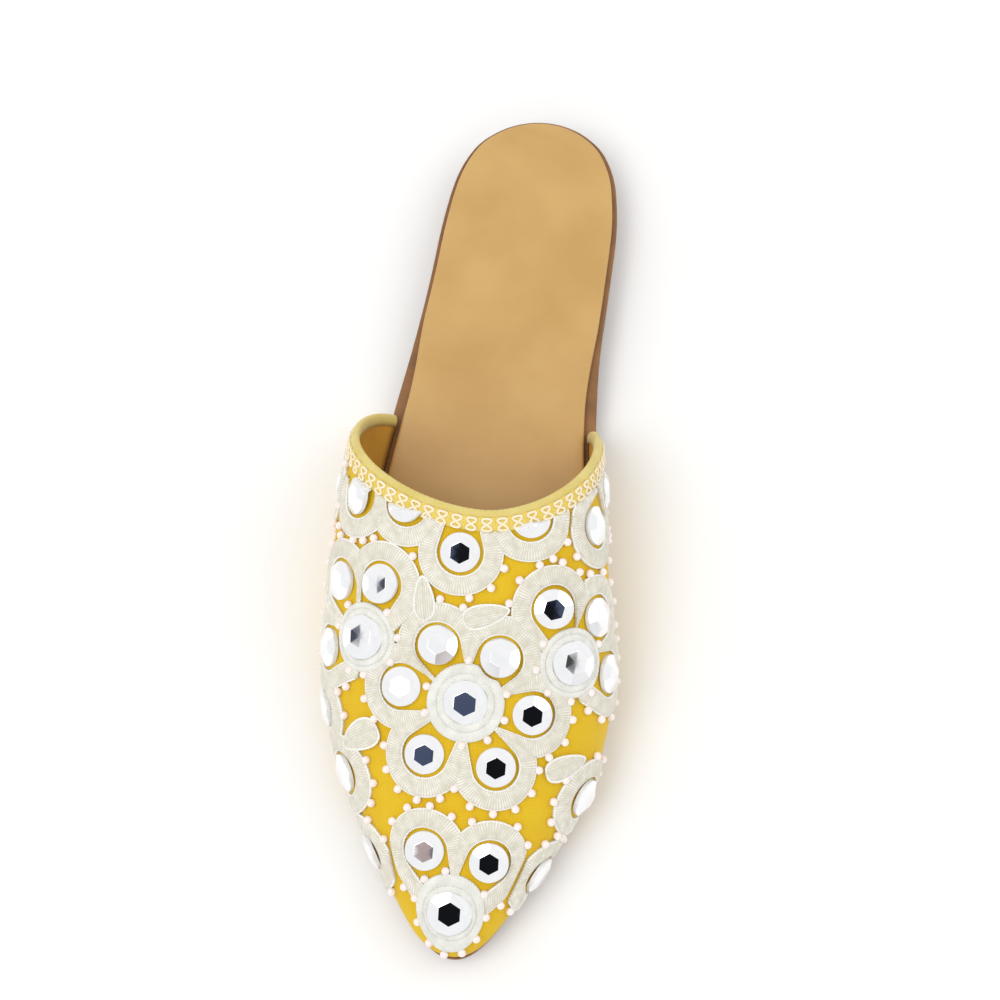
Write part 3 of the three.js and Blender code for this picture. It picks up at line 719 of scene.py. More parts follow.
def add_threads(made, spacing, depth, crossed=False, turned=0, dip_shade_and_joint=None):
    """Relief of threads at a spacing in millimetres, turned by an angle in degrees: one set of ridges, or the
    higher of two that cross as in a weave. The dip colour, where given, is painted shade between the threads."""
    where = made.where
    if turned:
        angles = {"Rotation": (0, 0, np.radians(turned))}
        where = add_node(made.tree, "Mapping", angles, {"Vector": where}).outputs["Vector"]
    values = {"Scale": wave_scale(spacing), "Distortion": THREAD_WAVER, "Detail": 1}
    warp, weft = [
        add_node(made.tree, "TexWave", values, {"Vector": where}, bands_direction=axis).outputs["Fac"]
        for axis in "XY"
    ]
    height = warp
    if crossed:
        both = add_node(made.tree, "Math", None, {0: warp, 1: weft}, operation="MAXIMUM")
        height = both.outputs[0]
    return add_relief(made, height, depth, dip_shade_and_joint=dip_shade_and_joint)


def yellow_plain_weave():
    """Dyed rayon cloth in plain weave: matt, with a faint glow along the fold. The yarns are drawn 0.6 mm
    apart, twice their real spacing, so that they show."""
    sockets = {"Roughness": 0.75, "Specular IOR Level": 0.3, "Sheen Weight": 0.08, "Sheen Roughness": 0.5}
    made = start_material("yellow_plain_weave", sockets, "#DEB512", "#E5C020", patches=14)
    # The dip colour is painted shade in the hollows between the yarns.
    return add_threads(made, spacing=0.6, depth=0.05, crossed=True, dip_shade_and_joint="#D0A812")


def gold_cotton_lining():
    """Cotton lining in a darker gold: flat and dry, with the yarns just showing."""
    made = start_material("gold_cotton_lining", {"Roughness": 0.85}, "#BE8A2A", "#CB9836", patches=12)
    return add_threads(made, spacing=0.7, depth=0.04, crossed=True)


def folded_bias_tape():
    """Bias strip folded over the edge: paler than the vamp, its yarns aslant over the fold."""
    sockets = {"Roughness": 0.68, "Sheen Weight": 0.25, "Sheen Roughness": 0.45}
    made = start_material("folded_bias_tape", sockets, "#D4BF68", "#DCCA7A", patches=8)
    return add_threads(made, spacing=0.55, depth=0.04, crossed=True, turned=45)


def yellow_rayon_braid():
    """Woven rayon braid: bright, a little glossy, with fine crossed ribs."""
    made = start_material("yellow_rayon_braid", {"Roughness": 0.5, **SILKY}, "#E6CC54", "#EFDC7C", patches=3)
    # The dip colour is painted shade in the hollows between the ribs.
    return add_threads(made, spacing=0.55, depth=0.08, crossed=True, dip_shade_and_joint="#DDB634")


def cream_loop_thread():
    """Thick cream thread of the braid's loops: smooth twisted rayon, softly shining."""
    sockets = {"Roughness": 0.45, **SILKY}
    made = start_material("cream_loop_thread", sockets, "#F1E1BC", "#FAEFD8", patches=1.5)
    return add_threads(made, spacing=0.5, depth=0.05)


def cream_satin_stitch():
    """Satin stitch of viscose thread laid side by side: silky along the thread, with painted grey-cream shade
    between the threads and small drifts of tone."""
    sockets = {"Roughness": 0.48, "Anisotropic": 0.3, **SILKY}
    made = start_material("cream_satin_stitch", sockets, "#D2CDBA", "#F5F2E9", patches=2.4)
    return add_threads(made, spacing=STITCH_SPACING, depth=0.05, dip_shade_and_joint="#D3CEBC")


def twisted_white_cord(name, low, high):
    """Twisted white cord, sewn along the edges or coiled into rings: brighter than the stitches, with its
    twist showing."""
    sockets = {"Roughness": 0.5, "Sheen Weight": 0.25, "Sheen Roughness": 0.4}
    made = start_material(name, sockets, low, high, patches=4)
    return add_threads(made, spacing=0.7, depth=0.08, turned=35)


def pearl_lacquered_bead():
    """Moulded bead with pearl lacquer: pinkish white, a soft clear coat over a milky body."""
    sockets = {
        "Roughness": 0.32, "Coat Weight": 0.6, "Coat Roughness": 0.18,
        "Subsurface Weight": 0.1, "Subsurface Radius": (0.8 * MM, 0.6 * MM, 0.5 * MM),
    }
    return start_material("pearl_lacquered_bead", sockets, "#F3E2DC", "#FCF4F0", patches=2.5).material


def foiled_cut_glass():
    """Cut glass with a silver foil behind it: each facet is a small mirror, faintly cold in tone."""
    sockets = {"Metallic": 1, "Roughness": 0.05}
    return start_material("foiled_cut_glass", sockets, "#F4F5F8", "#FCFCFD", patches=6).material


def ground_glass_edge():
    """Rim of a stone as it was ground: pale and matt, with a faint powdery unevenness."""
    return start_material("ground_glass_edge", {"Roughness": 0.6}, "#DCDDDC", "#ECEDEC", patches=1.5).material


def tan_smooth_leatherette():
    """Coated cloth with a fine embossed grain: tan, satin, with slow soft drifts of tone."""
    sockets = {"Roughness": 0.42, "Coat Weight": 0.15, "Coat Roughness": 0.3}
    made = start_material("tan_smooth_leatherette", sockets, "#C19754", "#CBA361", patches=26)
    cells = {"Scale": 1 / GRAIN_SIZE}
    grain = add_node(made.tree, "TexVoronoi", cells, {"Vector": made.where}, feature="DISTANCE_TO_EDGE")
    return add_relief(made, grain.outputs["Distance"], depth=0.05, strength=0.5)


def brown_leather_board():
    """Pressed leather board, dyed and rubbed: matt brown with fibres and faint scuffs."""
    made = start_material(
        "brown_leather_board", {"Roughness": 0.62}, "#7C5630", "#95683C", patches=9, solid=True,
    )
    fine = {"Scale": 1 / FIBRE_SIZE, "Detail": 6}
    fibres = add_node(made.tree, "TexNoise", fine, {"Vector": made.where})
    return add_relief(made, fibres.outputs["Fac"], depth=0.08, strength=0.6)


def stacked_leather_lifts():
    """Layers of leather board glued and trimmed together: fine level lines round the block."""
    made = start_material(
        "stacked_leather_lifts", {"Roughness": 0.5}, "#6E4A28", "#8A6038", patches=7, solid=True,
    )
    level = {"Scale": wave_scale(LIFT_THICKNESS), "Distortion": 0.3}
    lines = add_node(made.tree, "TexWave", level, {"Vector": made.where}, bands_direction="Z")
    return add_relief(made, lines.outputs["Fac"], depth=0.12, strength=0.6, dip_shade_and_joint="#5A3B20")


# Sole pieces

def plan_edge(station, side, inset, reach=0.001):
    """Point of the sole's outline moved inwards along the outline's own normal; exact at toe and heel."""
    half = PLAN.lateral if side < 0 else PLAN.medial
    inner = np.clip(station, reach, LENGTH - reach)
    slope = (half(inner + reach) - half(inner - reach)) / (2 * reach)
    length = np.hypot(slope, 1)
    x = side * (half(inner) - inset / length)
    y = inner + inset * slope / length
    is_toe = station <= 0
    is_heel = station >= LENGTH
    x = np.where(is_toe | is_heel, 0, x)
    y = np.where(is_toe, inset, np.where(is_heel, LENGTH - inset, y))
    return np.stack([x, y], axis=-1)


def closed_sections(left, right, columns, sink=0):
    """Rings from two edges that run upwards: a roof between their upper ends, which sinks in a half sine, and
    a tread between their lower ones."""
    share = np.linspace(0, 1, columns + 1)[1:-1, None]
    roof = left[:, -1:] + share * (right[:, -1:] - left[:, -1:])
    roof[..., 2] -= np.sin(np.pi * share[:, 0]) * sink
    tread = right[:, :1] + share * (left[:, :1] - right[:, :1])
    return np.concatenate([left, roof, right[:, ::-1], tread, left[:, :1]], axis=1)


def plank(inset, bottom, top, low_round, high_round, dish, columns=24, rows=150, turns=5):
    """Layer of the sole: at each station a closed section with quarter circles at its edges, carried from toe
    to heel. The top sinks by the dish where the layer is wide."""
    station = LENGTH * (1 - np.cos(np.linspace(0, np.pi, rows)))[:, None] / 2
    turn = np.linspace(0, np.pi / 2, turns)
    inwards = np.concatenate([low_round * (1 - np.sin(turn)), high_round * (1 - np.cos(turn))])

    def edge(side):
        """Upright edge of one side, its two ends rounded inwards."""
        line = plan_edge(station, side, inset(station) + inwards)
        low, high = np.split(line[..., 1], 2, axis=1)
        base = bottom(low) + low_round * (1 - np.cos(turn))
        head = top(high) - high_round * (1 - np.sin(turn))
        return np.concatenate([line, np.concatenate([base, head], axis=1)[..., None]], axis=-1)

    left = edge(-1)
    right = edge(1)
    sink = dish * smoothstep(right[:, -1:, 0] - left[:, -1:, 0], 0, DISH_FULL_WIDTH)
    return closed_sections(left, right, columns, sink)


def insole_inset(station):
    """The sock lies inside the wall under the vamp and widens to the sole's edge behind the wings."""
    share = smoothstep(station - WING_STATION, INSOLE_FLARE_START, INSOLE_FLARE_END)
    under_vamp = WALL + INSOLE_WALL_CLEARANCE
    return under_vamp + (INSOLE_BACK_INSET - under_vamp) * share


def heel_block(rows=60, columns=16, levels=7):
    """Low block under the heel seat: at each station a section from the seat's outline down to the tapered
    tread. Its lower edges are rounded by a fading exponential, by a quarter of the half width at most."""
    station = HEEL_BREAST + (LENGTH - HEEL_BREAST) * np.sin(np.linspace(0, np.pi / 2, rows))
    level = np.linspace(0, 1, levels)
    sides = []
    for side in (-1, 1):
        top = plan_edge(station, side, HEEL_INSET)
        tread = plan_edge(station, side, HEEL_INSET + HEEL_TAPER)
        height = PROFILE.top(top[:, 1]) - SOLE_THICKNESS - GAP
        rounding = HEEL_ROUND * np.exp(-level * height[:, None] / HEEL_ROUND)
        plan = tread[:, None] + level[:, None] * (top - tread)[:, None]
        x = plan[..., 0] - side * np.minimum(rounding, np.abs(plan[..., 0]) / 4)
        sides.append(np.stack([x, plan[..., 1], level * height[:, None]], axis=-1))
    return closed_sections(*sides, columns)


# Vamp

def vamp_point(station, column):
    """Point of the outer face: the column runs from the lateral feather line up the skirt, over the crown by
    even angles, and down to the medial feather line."""
    station, column = np.broadcast_arrays(np.asarray(station, float), np.asarray(column, float))
    cut = section(station)
    from_edge = np.minimum(column, FULL_SPAN - column)
    is_lateral = column < FULL_SPAN / 2
    sign = np.where(is_lateral, -1, 1)
    half, skirt = side_of(cut, is_lateral)
    low_z = cut.foot + (cut.z - cut.foot) * np.minimum(from_edge / SIDE_SPAN, 1)
    low_x = np.sqrt(np.maximum(1 - ((cut.z - low_z) / skirt) ** 2, 0))
    angle = np.pi * np.maximum(from_edge - SIDE_SPAN, 0) / CROWN_SPAN
    high_x = np.maximum(np.cos(angle), 0) ** (2 / cut.power)
    high_z = cut.z + cut.crown * np.sin(angle) ** (2 / cut.power)
    is_skirt = from_edge <= SIDE_SPAN
    x = cut.x + sign * half * np.where(is_skirt, low_x, high_x)
    return np.stack([x, station, np.where(is_skirt, low_z, high_z)], axis=-1)


def topline_station(column, halvings=40):
    """Station where each column meets the topline: the stretch from the throat to the wings, halved again and
    again."""
    front = np.full(np.shape(column), THROAT_STATION - 1.0)
    back = np.full(np.shape(column), WING_STATION + 1.0)
    for _ in range(halvings):
        middle = (front + back) / 2
        value, _slope = topline_value(vamp_point(middle, column))
        front = np.where(value < 0, middle, front)
        back = np.where(value < 0, back, middle)
    return (front + back) / 2


def vamp_shell(rows=90, crown_columns=97, side_columns=9):
    """Outer face, and the inner one a wall's thickness inside along the normal, with the rim and the two foot
    strips that join them."""
    column = np.concatenate([
        np.linspace(0, SIDE_SPAN, side_columns),
        np.linspace(SIDE_SPAN, FULL_SPAN - SIDE_SPAN, crown_columns)[1:],
        np.linspace(FULL_SPAN - SIDE_SPAN, FULL_SPAN, side_columns)[1:],
    ])
    share = 1 - np.cos(np.linspace(0, np.pi / 2, rows))
    station = share[:, None] * topline_station(column)
    outer = vamp_point(station, column)
    outer[0, :, 0] = 0
    normal = wall_normal(outer)
    normal[0] = (0, -1, 0)
    inner = outer - WALL * normal
    inner[:, 0, 2] = outer[:, 0, 2]
    inner[:, -1, 2] = outer[:, -1, 2]
    rim = np.stack([outer[-1], inner[-1]])
    lateral_foot = np.stack([outer[:, 0], inner[:, 0]])
    medial_foot = np.stack([outer[:, -1], inner[:, -1]])
    return [patch(outer), patch(inner, material=1), patch(rim), patch(lateral_foot), patch(medial_foot)]


# Collar trims

RIM_COLUMNS = np.linspace(0, FULL_SPAN, TOPLINE_STEPS)
RIM = vamp_point(topline_station(RIM_COLUMNS), RIM_COLUMNS)
RIM_RUN = run_lengths(RIM)


def rim_frame(distance, half_step=0.5):
    """Frames along the topline at distances from the lateral foot: seat on the wall, normal, and the way to
    the toe, which is at right angles to the run and the normal."""
    def at(place):
        """Points of the topline at distances along it."""
        return np.stack([np.interp(place, RIM_RUN, RIM[:, i]) for i in range(3)], axis=-1)

    seat = onto_wall(at(distance))
    out = wall_normal(seat)
    run = at(np.minimum(distance + half_step, RIM_RUN[-1])) - at(np.maximum(distance - half_step, 0))
    to_toe = unit(np.cross(run, out))
    to_toe = np.where(to_toe[..., 1:2] > 0, -to_toe, to_toe)
    return seat, out, to_toe


def folded_tape(rows=320, turns=11):
    """Half an oval carried along the rim just behind it, with a flat tail on the lining and a short one under
    the braid; it swells a little between the stitches."""
    distance = np.linspace(BINDING_END, 1 - BINDING_END, rows) * RIM_RUN[-1]
    seat, out, to_toe = rim_frame(distance)
    turn = np.linspace(0, np.pi, turns)
    tail = [BINDING_TAIL, BINDING_TAIL, BINDING_FRONT, BINDING_FRONT]
    tail_lift = [-1, BINDING_TAIL_LIFT, 0, BINDING_FRONT_LIFT]
    reach = np.concatenate([[BINDING_FRONT], -BINDING_RISE * np.sin(turn), tail])[:, None]
    over = BINDING_HALF_THICKNESS * np.concatenate([[BINDING_FRONT_LIFT], np.cos(turn), tail_lift])[:, None]
    pull = np.cos(2 * np.pi * distance / BINDING_PUCKER_SPACING) ** BINDING_PUCKER_SHARPNESS
    swell = (1 - BINDING_PUCKER * pull)[:, None, None]
    middle = seat - out * WALL / 2
    return middle[:, None] + swell * (reach * to_toe[:, None] + over * out[:, None])


def on_braid(distance, reach, height):
    """Points over the vamp, and their normals, at distances along the topline and reaches to the toe."""
    distance, reach, height = np.broadcast_arrays(distance, reach, height)
    seat, _out, to_toe = rim_frame(distance)
    place = onto_wall(seat + to_toe * reach[..., None])
    normal = wall_normal(place)
    return place + normal * height[..., None], normal


def woven_braid(rows=640):
    """Flat strip below the binding: a low arch across, its two edges waved by the weave."""
    distance = np.linspace(TRIM_END, 1 - TRIM_END, rows)[:, None] * RIM_RUN[-1]
    across, height = np.array(BRAID_SECTION).T
    wave = BRAID_SCALLOP * np.cos(2 * np.pi * distance / BRAID_REPEAT)
    reach = BRAID_START + BRAID_WIDTH * across + wave * (2 * across - 1)
    points, _normal = on_braid(distance, reach, LOW_GAP + BRAID_THICKNESS * height)
    return points


def braid_loops(steps=36):
    """Figures of eight sewn across the braid at each repeat: along is a sine of twice the turn, across a
    cosine of the turn; the thread rises a little where it crosses itself."""
    length = RIM_RUN[-1] * (1 - 2 * TRIM_END)
    middles = RIM_RUN[-1] * TRIM_END + BRAID_REPEAT * (np.arange(int(length / BRAID_REPEAT)) + 0.5)
    turn = np.linspace(0, 2 * np.pi, steps + 1)
    along = middles[:, None] + BRAID_LOOP_WIDTH * np.sin(2 * turn)
    reach = BRAID_START + BRAID_WIDTH / 2 + BRAID_LOOP_REACH * np.cos(turn)
    height = LOW_GAP + BRAID_THICKNESS + BRAID_LOOP_LIFT + BRAID_LOOP_CROSSING * np.sin(turn)
    path, normal = [
        np.concatenate([run[:, -2:-1], run, run[:, 1:2]], axis=1) for run in on_braid(along, reach, height)
    ]
    return tube(path, normal, BRAID_LOOP_RADIUS)[:, 1:-1]


# Embroidery

def motifs():
    """Rings and petals with their own working frames: a flower's ring in its middle and its petals around it,
    then the single petals. Inner and outer are the edges of the band."""
    found = []

    def add(name, panel, working, facing, sweep, ring=0):
        """One motif, a ring where it has an outer radius of its own."""
        found.append(SimpleNamespace(
            name=name, panel=panel, working=working, facing=np.radians(facing), sweep=np.radians(sweep),
            is_ring=ring > 0, stone=BIG_STONE_RADIUS if ring else STONE_RADIUS,
            inner=BIG_STONE_RADIUS - RING_OVER_STONE if ring else PETAL_RADIUS - BAND_WIDTH / 2,
            outer=ring or PETAL_RADIUS + BAND_WIDTH / 2,
        ))

    for name, panel, station, bearing, ring, petals in FLOWERS:
        middle = wall_frame(station, bearing)
        add(name, panel, middle, 0, RING_SWEEP, ring)
        for number, (direction, reach) in enumerate(petals, start=1):
            seat = seat_at(middle, circle_points(np.radians(direction), reach))
            add(f"{name}_{number}", panel, frame_at(seat, middle.across), direction, PETAL_SWEEP)
    for name, panel, station, bearing, facing in SCALLOPS:
        add(name, panel, wall_frame(station, bearing), facing, SCALLOP_SWEEP)
    return found


MOTIFS = motifs()


def band_limit(motif, angle):
    """How far a motif may reach at each angle. Two petals overlap a little at the line half way between their
    stones, a petal stops under a ring, and a ring stops at a neighbour's stone."""
    limit = np.full(angle.shape, np.inf)
    for other in MOTIFS:
        distance = np.linalg.norm(other.working.origin - motif.working.origin)
        if other is motif or distance > NEIGHBOUR_REACH:
            continue
        flat = flat_place(motif.working, other.working.origin)
        forward = circle_points(angle, 1) @ (flat * distance / np.linalg.norm(flat))
        ahead = forward > 1e-6
        safe = np.where(ahead, forward, 1)
        if not motif.is_ring and not other.is_ring:
            meeting = distance * (distance / 2 + BAND_OVERLAP) / safe
        else:
            stop = other.outer - RING_TUCK if other.is_ring else other.stone + STONE_GAP
            inside = stop ** 2 - distance ** 2 + safe ** 2
            meeting = np.where(inside > 0, safe - np.sqrt(np.maximum(inside, 0)), np.inf)
        limit = np.minimum(limit, np.where(ahead, meeting, np.inf))
    return limit


def band_edges(motif, share):
    """Angle, inner edge, uncut outer edge and limit of a band along its way. A ring is round. A petal is
    round on its closed side and runs on straight beyond the arc; a single petal narrows to its two ends."""
    turn = motif.sweep * (2 * share - 1)
    angle = motif.facing + turn
    limit = band_limit(motif, angle)
    if motif.is_ring:
        return angle, np.full(share.shape, motif.inner), np.full(share.shape, motif.outer), limit
    stretch = 1 / np.cos(np.maximum(np.abs(turn) - np.radians(PETAL_ARC), 0))
    fullness = 1
    if motif.sweep < np.radians(PETAL_SWEEP):
        fullness = smoothstep(np.minimum(share, 1 - share), 0, BAND_TAPER)
    inner = motif.inner * stretch
    outer = inner + BAND_TIP_WIDTH + (BAND_WIDTH * stretch - BAND_TIP_WIDTH) * fullness
    return angle, inner, outer, limit


def raised_band(motif, share, across, profile):
    """Grid of a band: cut at its limit, raised by a profile over the radius and the share of the uncut width,
    its foot sunk into the cloth and closed below."""
    angle, inner, outer, limit = band_edges(motif, share)
    near = np.minimum(inner, limit)
    far = np.clip(limit, near, outer)
    reach = near[:, None] + (far - near)[:, None] * across
    height = profile(reach, np.clip((reach - inner[:, None]) / (outer - inner)[:, None], 0, 1))
    height[:, [0, -2, -1]] = -BAND_ROOT
    points = lay(motif.working, circle_points(angle[:, None], reach), height)
    middle = (motif.inner + motif.outer) / 2
    return points, np.stack(np.broadcast_arrays(angle[:, None] * middle, reach), axis=-1)


def satin_petal(motif, rows_a_stitch=3):
    """Padded band of satin stitch: across it a squared arch, with a ridge for each stitch."""
    stitches = int(2 * motif.sweep * PETAL_RADIUS / STITCH_SPACING)
    share = np.linspace(0, 1, rows_a_stitch * stitches + 1)
    ridge = np.abs(np.sin(np.pi * stitches * share))[:, None] * STITCH_RISE

    def arch(_reach, width_share):
        """Superellipse over the width, with the ridges on it."""
        bow = (1 - np.abs(2 * width_share - 1) ** BAND_SQUARENESS) ** (1 / BAND_SQUARENESS)
        return BAND_EDGE_HEIGHT + (BAND_CROWN + ridge) * bow

    points, uv = raised_band(motif, share, BAND_COLUMNS, arch)
    return [patch(points, uv), patch(lid(points[0, :-1])), patch(lid(points[-1, :-1]))]


def coiled_ring(motif, rows=145):
    """Two coils of thick white cord: the root of half a sine over each coil, with a seam between them."""
    share = np.linspace(0, 1, rows)
    seam = (COIL_SEAM - motif.inner) / (motif.outer - motif.inner)
    across = np.concatenate([[0], seam * COIL_COLUMNS, seam + (1 - seam) * COIL_COLUMNS, [1, 1, 0]])

    def coils(reach, _width_share):
        """Height over the coil that the radius lies on."""
        start = np.where(reach < COIL_SEAM, motif.inner, COIL_SEAM)
        end = np.where(reach < COIL_SEAM, COIL_SEAM, motif.outer)
        bow = np.sqrt(np.abs(np.sin(np.pi * (reach - start) / (end - start))))
        return COIL_EDGE_HEIGHT + COIL_CROWN * bow

    points, uv = raised_band(motif, share, across, coils)
    return [patch(points, uv, material=1)]


def runs_of(mask, least=5):
    """First place and end of each stretch where the mask holds, left out where it is short."""
    edges = np.flatnonzero(np.diff(np.concatenate([[0], mask.astype(int), [0]])))
    return [(first, end) for first, end in zip(edges[::2], edges[1::2]) if end - first >= least]


def cord_along(working, flat, height):
    """White cord laid along a flat path: a round profile carried along it, closed at both ends."""
    path = lay(working, flat, np.full(flat.shape[:-1], height))
    return closed_run(tube(path, wall_normal(path), CORD_RADIUS))


def edge_cords(motif, steps=161):
    """Cords on the inner and the outer edge of a petal, wherever a neighbour doesn't cover them."""
    angle, inner, outer, limit = band_edges(motif, np.linspace(0, 1, steps))
    lines = [
        (inner + CORD_INSET, limit > inner + CORD_INNER_ROOM),
        (outer - CORD_INSET, limit > outer - CORD_OUTER_ROOM),
    ]
    grids = []
    for radius, free in lines:
        for first, end in runs_of(free):
            flat = circle_points(angle[first:end], radius[first:end])
            grids += cord_along(motif.working, flat, CORD_HEIGHT)
    return grids


def leaf_half_width(share, width):
    """Half width of a leaf along its length: blunt at the root, widest near it, and pointed at the tip."""
    return width / 2 * np.abs(np.sin(np.pi * share ** LEAF_BELLY)) ** LEAF_BLUNTNESS


def leaf_axes(facing):
    """Directions along and across a leaf in its working frame."""
    axis = circle_points(np.radians(facing), 1)
    return axis, np.array([-axis[1], axis[0]])


def leaf(station, bearing, facing, length, width, rows=61):
    """Padded leaf: an arch across, a groove along the middle vein, slanted stitches and a cord round it."""
    working = wall_frame(station, bearing)
    axis, side = leaf_axes(facing)
    share = np.linspace(0, 1, rows)
    across = LEAF_COLUMNS
    half = leaf_half_width(share, width)[:, None]
    bow = np.sqrt(1 - across ** BAND_SQUARENESS)
    vein = LEAF_VEIN_DEPTH * np.exp(-(across / LEAF_VEIN_WIDTH) ** 2)
    slanted = share[:, None] * length + LEAF_STITCH_SLANT * half * np.abs(across)
    stitch = np.abs(np.sin(np.pi * slanted / STITCH_SPACING))
    padding = (BAND_CROWN * bow - vein) * smoothstep(half, 0, LEAF_FULL_WIDTH)
    height = BAND_EDGE_HEIGHT + LEAF_LIFT + padding + STITCH_RISE * stitch * bow
    height[:, [0, -2, -1]] = -BAND_ROOT
    along = length * (share - 0.5)
    flat = along[:, None, None] * axis + (half * across)[..., None] * side
    rim_along = np.concatenate([along, along[::-1][1:]])
    rim_side = np.concatenate([half[:, 0], -half[::-1, 0][1:]])
    rim = rim_along[:, None] * axis + rim_side[:, None] * side
    return [patch(lay(working, flat, height))], cord_along(working, rim, CORD_HEIGHT + LEAF_LIFT)


def on_leaf(seat):
    """True where a seat lies on a leaf or close to it."""
    for _panel, station, bearing, facing, length, width in LEAVES:
        axis, side = leaf_axes(facing)
        flat = flat_place(wall_frame(station, bearing), seat)
        share = np.clip(flat @ axis / length + 0.5, 0, 1)
        beyond = np.abs(flat @ axis) - length / 2
        if beyond < PEARL_LEAF_GAP and np.abs(flat @ side) < leaf_half_width(share, width) + PEARL_LEAF_GAP:
            return True
    return False


def pearl_places(steps=721):
    """Seats of the pearls: at even steps along the free outer edges and round the rings, left out where they
    would stand on a stone, a leaf, a band of another motif, or on each other."""
    places = []
    for motif in MOTIFS:
        angle, _inner, outer, limit = band_edges(motif, np.linspace(0, 1, steps))
        count = int(2 * motif.sweep * motif.outer / PEARL_SPACING)
        wanted = angle[0] + (np.arange(count) + 0.5) * (angle[-1] - angle[0]) / count
        reach = np.interp(wanted, angle, outer)
        room = np.interp(wanted, angle, np.minimum(limit, FAR_AWAY))
        seats = seat_at(motif.working, circle_points(wanted, reach + PEARL_OFFSET))
        for seat, free in zip(seats, room > reach):
            if free and pearl_fits(seat, motif, places):
                places.append(seat)
    return np.array(places)


def pearl_fits(seat, motif, places):
    """True where a pearl has room: off sole, braid, stones, leaves, other bands and earlier pearls."""
    reach, _towards = distance_to_topline(seat)
    if reach < BRAID_EDGE + PEARL_RADIUS:
        return False
    if seat[2] < PROFILE.top(seat[1]) + EMBROIDERY_FOOT + PEARL_RADIUS:
        return False
    for other in MOTIFS:
        apart = np.linalg.norm(seat - other.working.origin)
        if apart < other.stone + PEARL_RADIUS:
            return False
        low = (0 if other.is_ring else other.inner) - PEARL_OVER_BAND
        if other is not motif and not motif.is_ring and low < apart < other.outer + PEARL_BAND_GAP:
            return False
    if on_leaf(seat):
        return False
    return all(np.linalg.norm(seat - place) > PEARL_APART for place in places)


def pearls(seats, rows=7, columns=10):
    """Balls standing on the cloth: each a turned half circle about its normal."""
    normal = wall_normal(seats)
    across = unit(np.cross(normal, PEARL_SEAM))
    along = np.cross(normal, across)
    polar = np.linspace(0, np.pi, rows)[:, None, None]
    turn = np.linspace(0, 2 * np.pi, columns + 1)[None, :, None]
    round_about = np.cos(turn) * across[:, None, None] + np.sin(turn) * along[:, None, None]
    ball = np.cos(polar) * normal[:, None, None] + np.sin(polar) * round_about
    return (seats + normal * PEARL_HEIGHT)[:, None, None] + PEARL_RADIUS * ball


def cut_stone(motif, columns=48, rows=4):
    """Stone on its seat: over the round girdle each of six planes slopes from the table's edge outwards, so
    the height is the lowest of the planes and of the table, which swells a little."""
    lean = STONE_LEAN.get(motif.name, (0, 0))
    working = motif.working
    out = unit(working.out + lean[0] * working.across + lean[1] * working.along)
    across = unit(working.across - dot(working.across, out) * out)
    along = np.cross(out, across)
    radius = motif.stone
    turn = np.linspace(0, 2 * np.pi, columns + 1)
    half_facet = np.pi / 6
    facing = (turn + half_facet) % (2 * half_facet) - half_facet
    table = radius * STONE_TABLE * np.cos(half_facet)
    table_edge = table / np.cos(facing)
    table_height = STONE_SEAT + STONE_HEIGHT
    full = np.full(turn.shape, radius)

    def rings(reach, height):
        """Points round the leaning axis, lifted by half the lean's drop, and which of them are pressed."""
        height = height + radius * np.hypot(*lean) / 2
        flat = circle_points(turn, reach)
        points = flat[..., :1] * across + flat[..., 1:] * along + height[..., None] * out
        return slip_under_braid(working.origin + points)

    def cut_face(ring_set, smooth):
        """Polished grid of rings, matt in the cells that a pressed point belongs to."""
        points, pressed = ring_set
        matt = np.any(corners(pressed), axis=0)
        return patch(points, material=matt.astype(int), smooth=smooth)

    share = np.append(np.linspace(0, 1 - STONE_BEVEL, rows), 1)[:, None]
    top = rings(share * table_edge, table_height + STONE_DOME * (1 - share ** 2) + 0 * turn)
    share = np.linspace(0, 1, rows)[:, None]
    reach = table_edge + share * (full - table_edge)
    height = table_height - STONE_SLOPE * np.maximum(reach * np.cos(facing) - table, 0)
    facets = rings(reach, height)
    foot = np.full(turn.shape, -STONE_SEAT)
    edge, _pressed = rings(np.stack([full, full, 0 * full]), np.stack([height[-1], foot, foot]))
    return [cut_face(top, True), cut_face(facets, False), patch(edge, material=1, smooth=False)]


def slip_under_braid(points):
    """Lowers a stone's side to the cloth where it slips under the braid, and cuts it off at the foot of the
    embroidery. Also tells which points are lowered."""
    seats = onto_wall(points)
    reach, towards = distance_to_topline(seats)
    room = smoothstep(reach, BRAID_EDGE - STONE_SLIP_UNDER, BRAID_EDGE + STONE_SLIP_SLOPE)[..., None]
    back = np.maximum(BRAID_TUCK - reach, 0)[..., None]
    points = seats - towards * back + (points - seats) * room
    low = PROFILE.top(points[..., 1]) + EMBROIDERY_FOOT
    points[..., 2] = np.maximum(points[..., 2], low)
    return points, room[..., 0] < 1


# Materials and pieces

SATIN = cream_satin_stitch()
CORD = twisted_white_cord("white_couched_cord", "#EEEEE7", "#F8F8F3")
# The coiled cord is the same cord as the couched one, painted a few tones darker to stand in for the shade
# among its coils.
SHADED_COIL = twisted_white_cord("white_coiled_cord_painted_shade", "#DADAD1", "#EBEBE4")
GLASS = foiled_cut_glass()
GLASS_EDGE = ground_glass_edge()

make_piece("vamp_cloth", vamp_shell(), [yellow_plain_weave(), gold_cotton_lining()], ["upper"])

board = plank(
    lambda station: np.full(np.shape(station), -SOLE_LEDGE),
    lambda y: PROFILE.top(y) - SOLE_THICKNESS, PROFILE.top, SOLE_LOW_ROUND, SOLE_HIGH_ROUND, 0,
)
make_piece("sole_board", [patch(board)], [brown_leather_board()], ["outsole"])

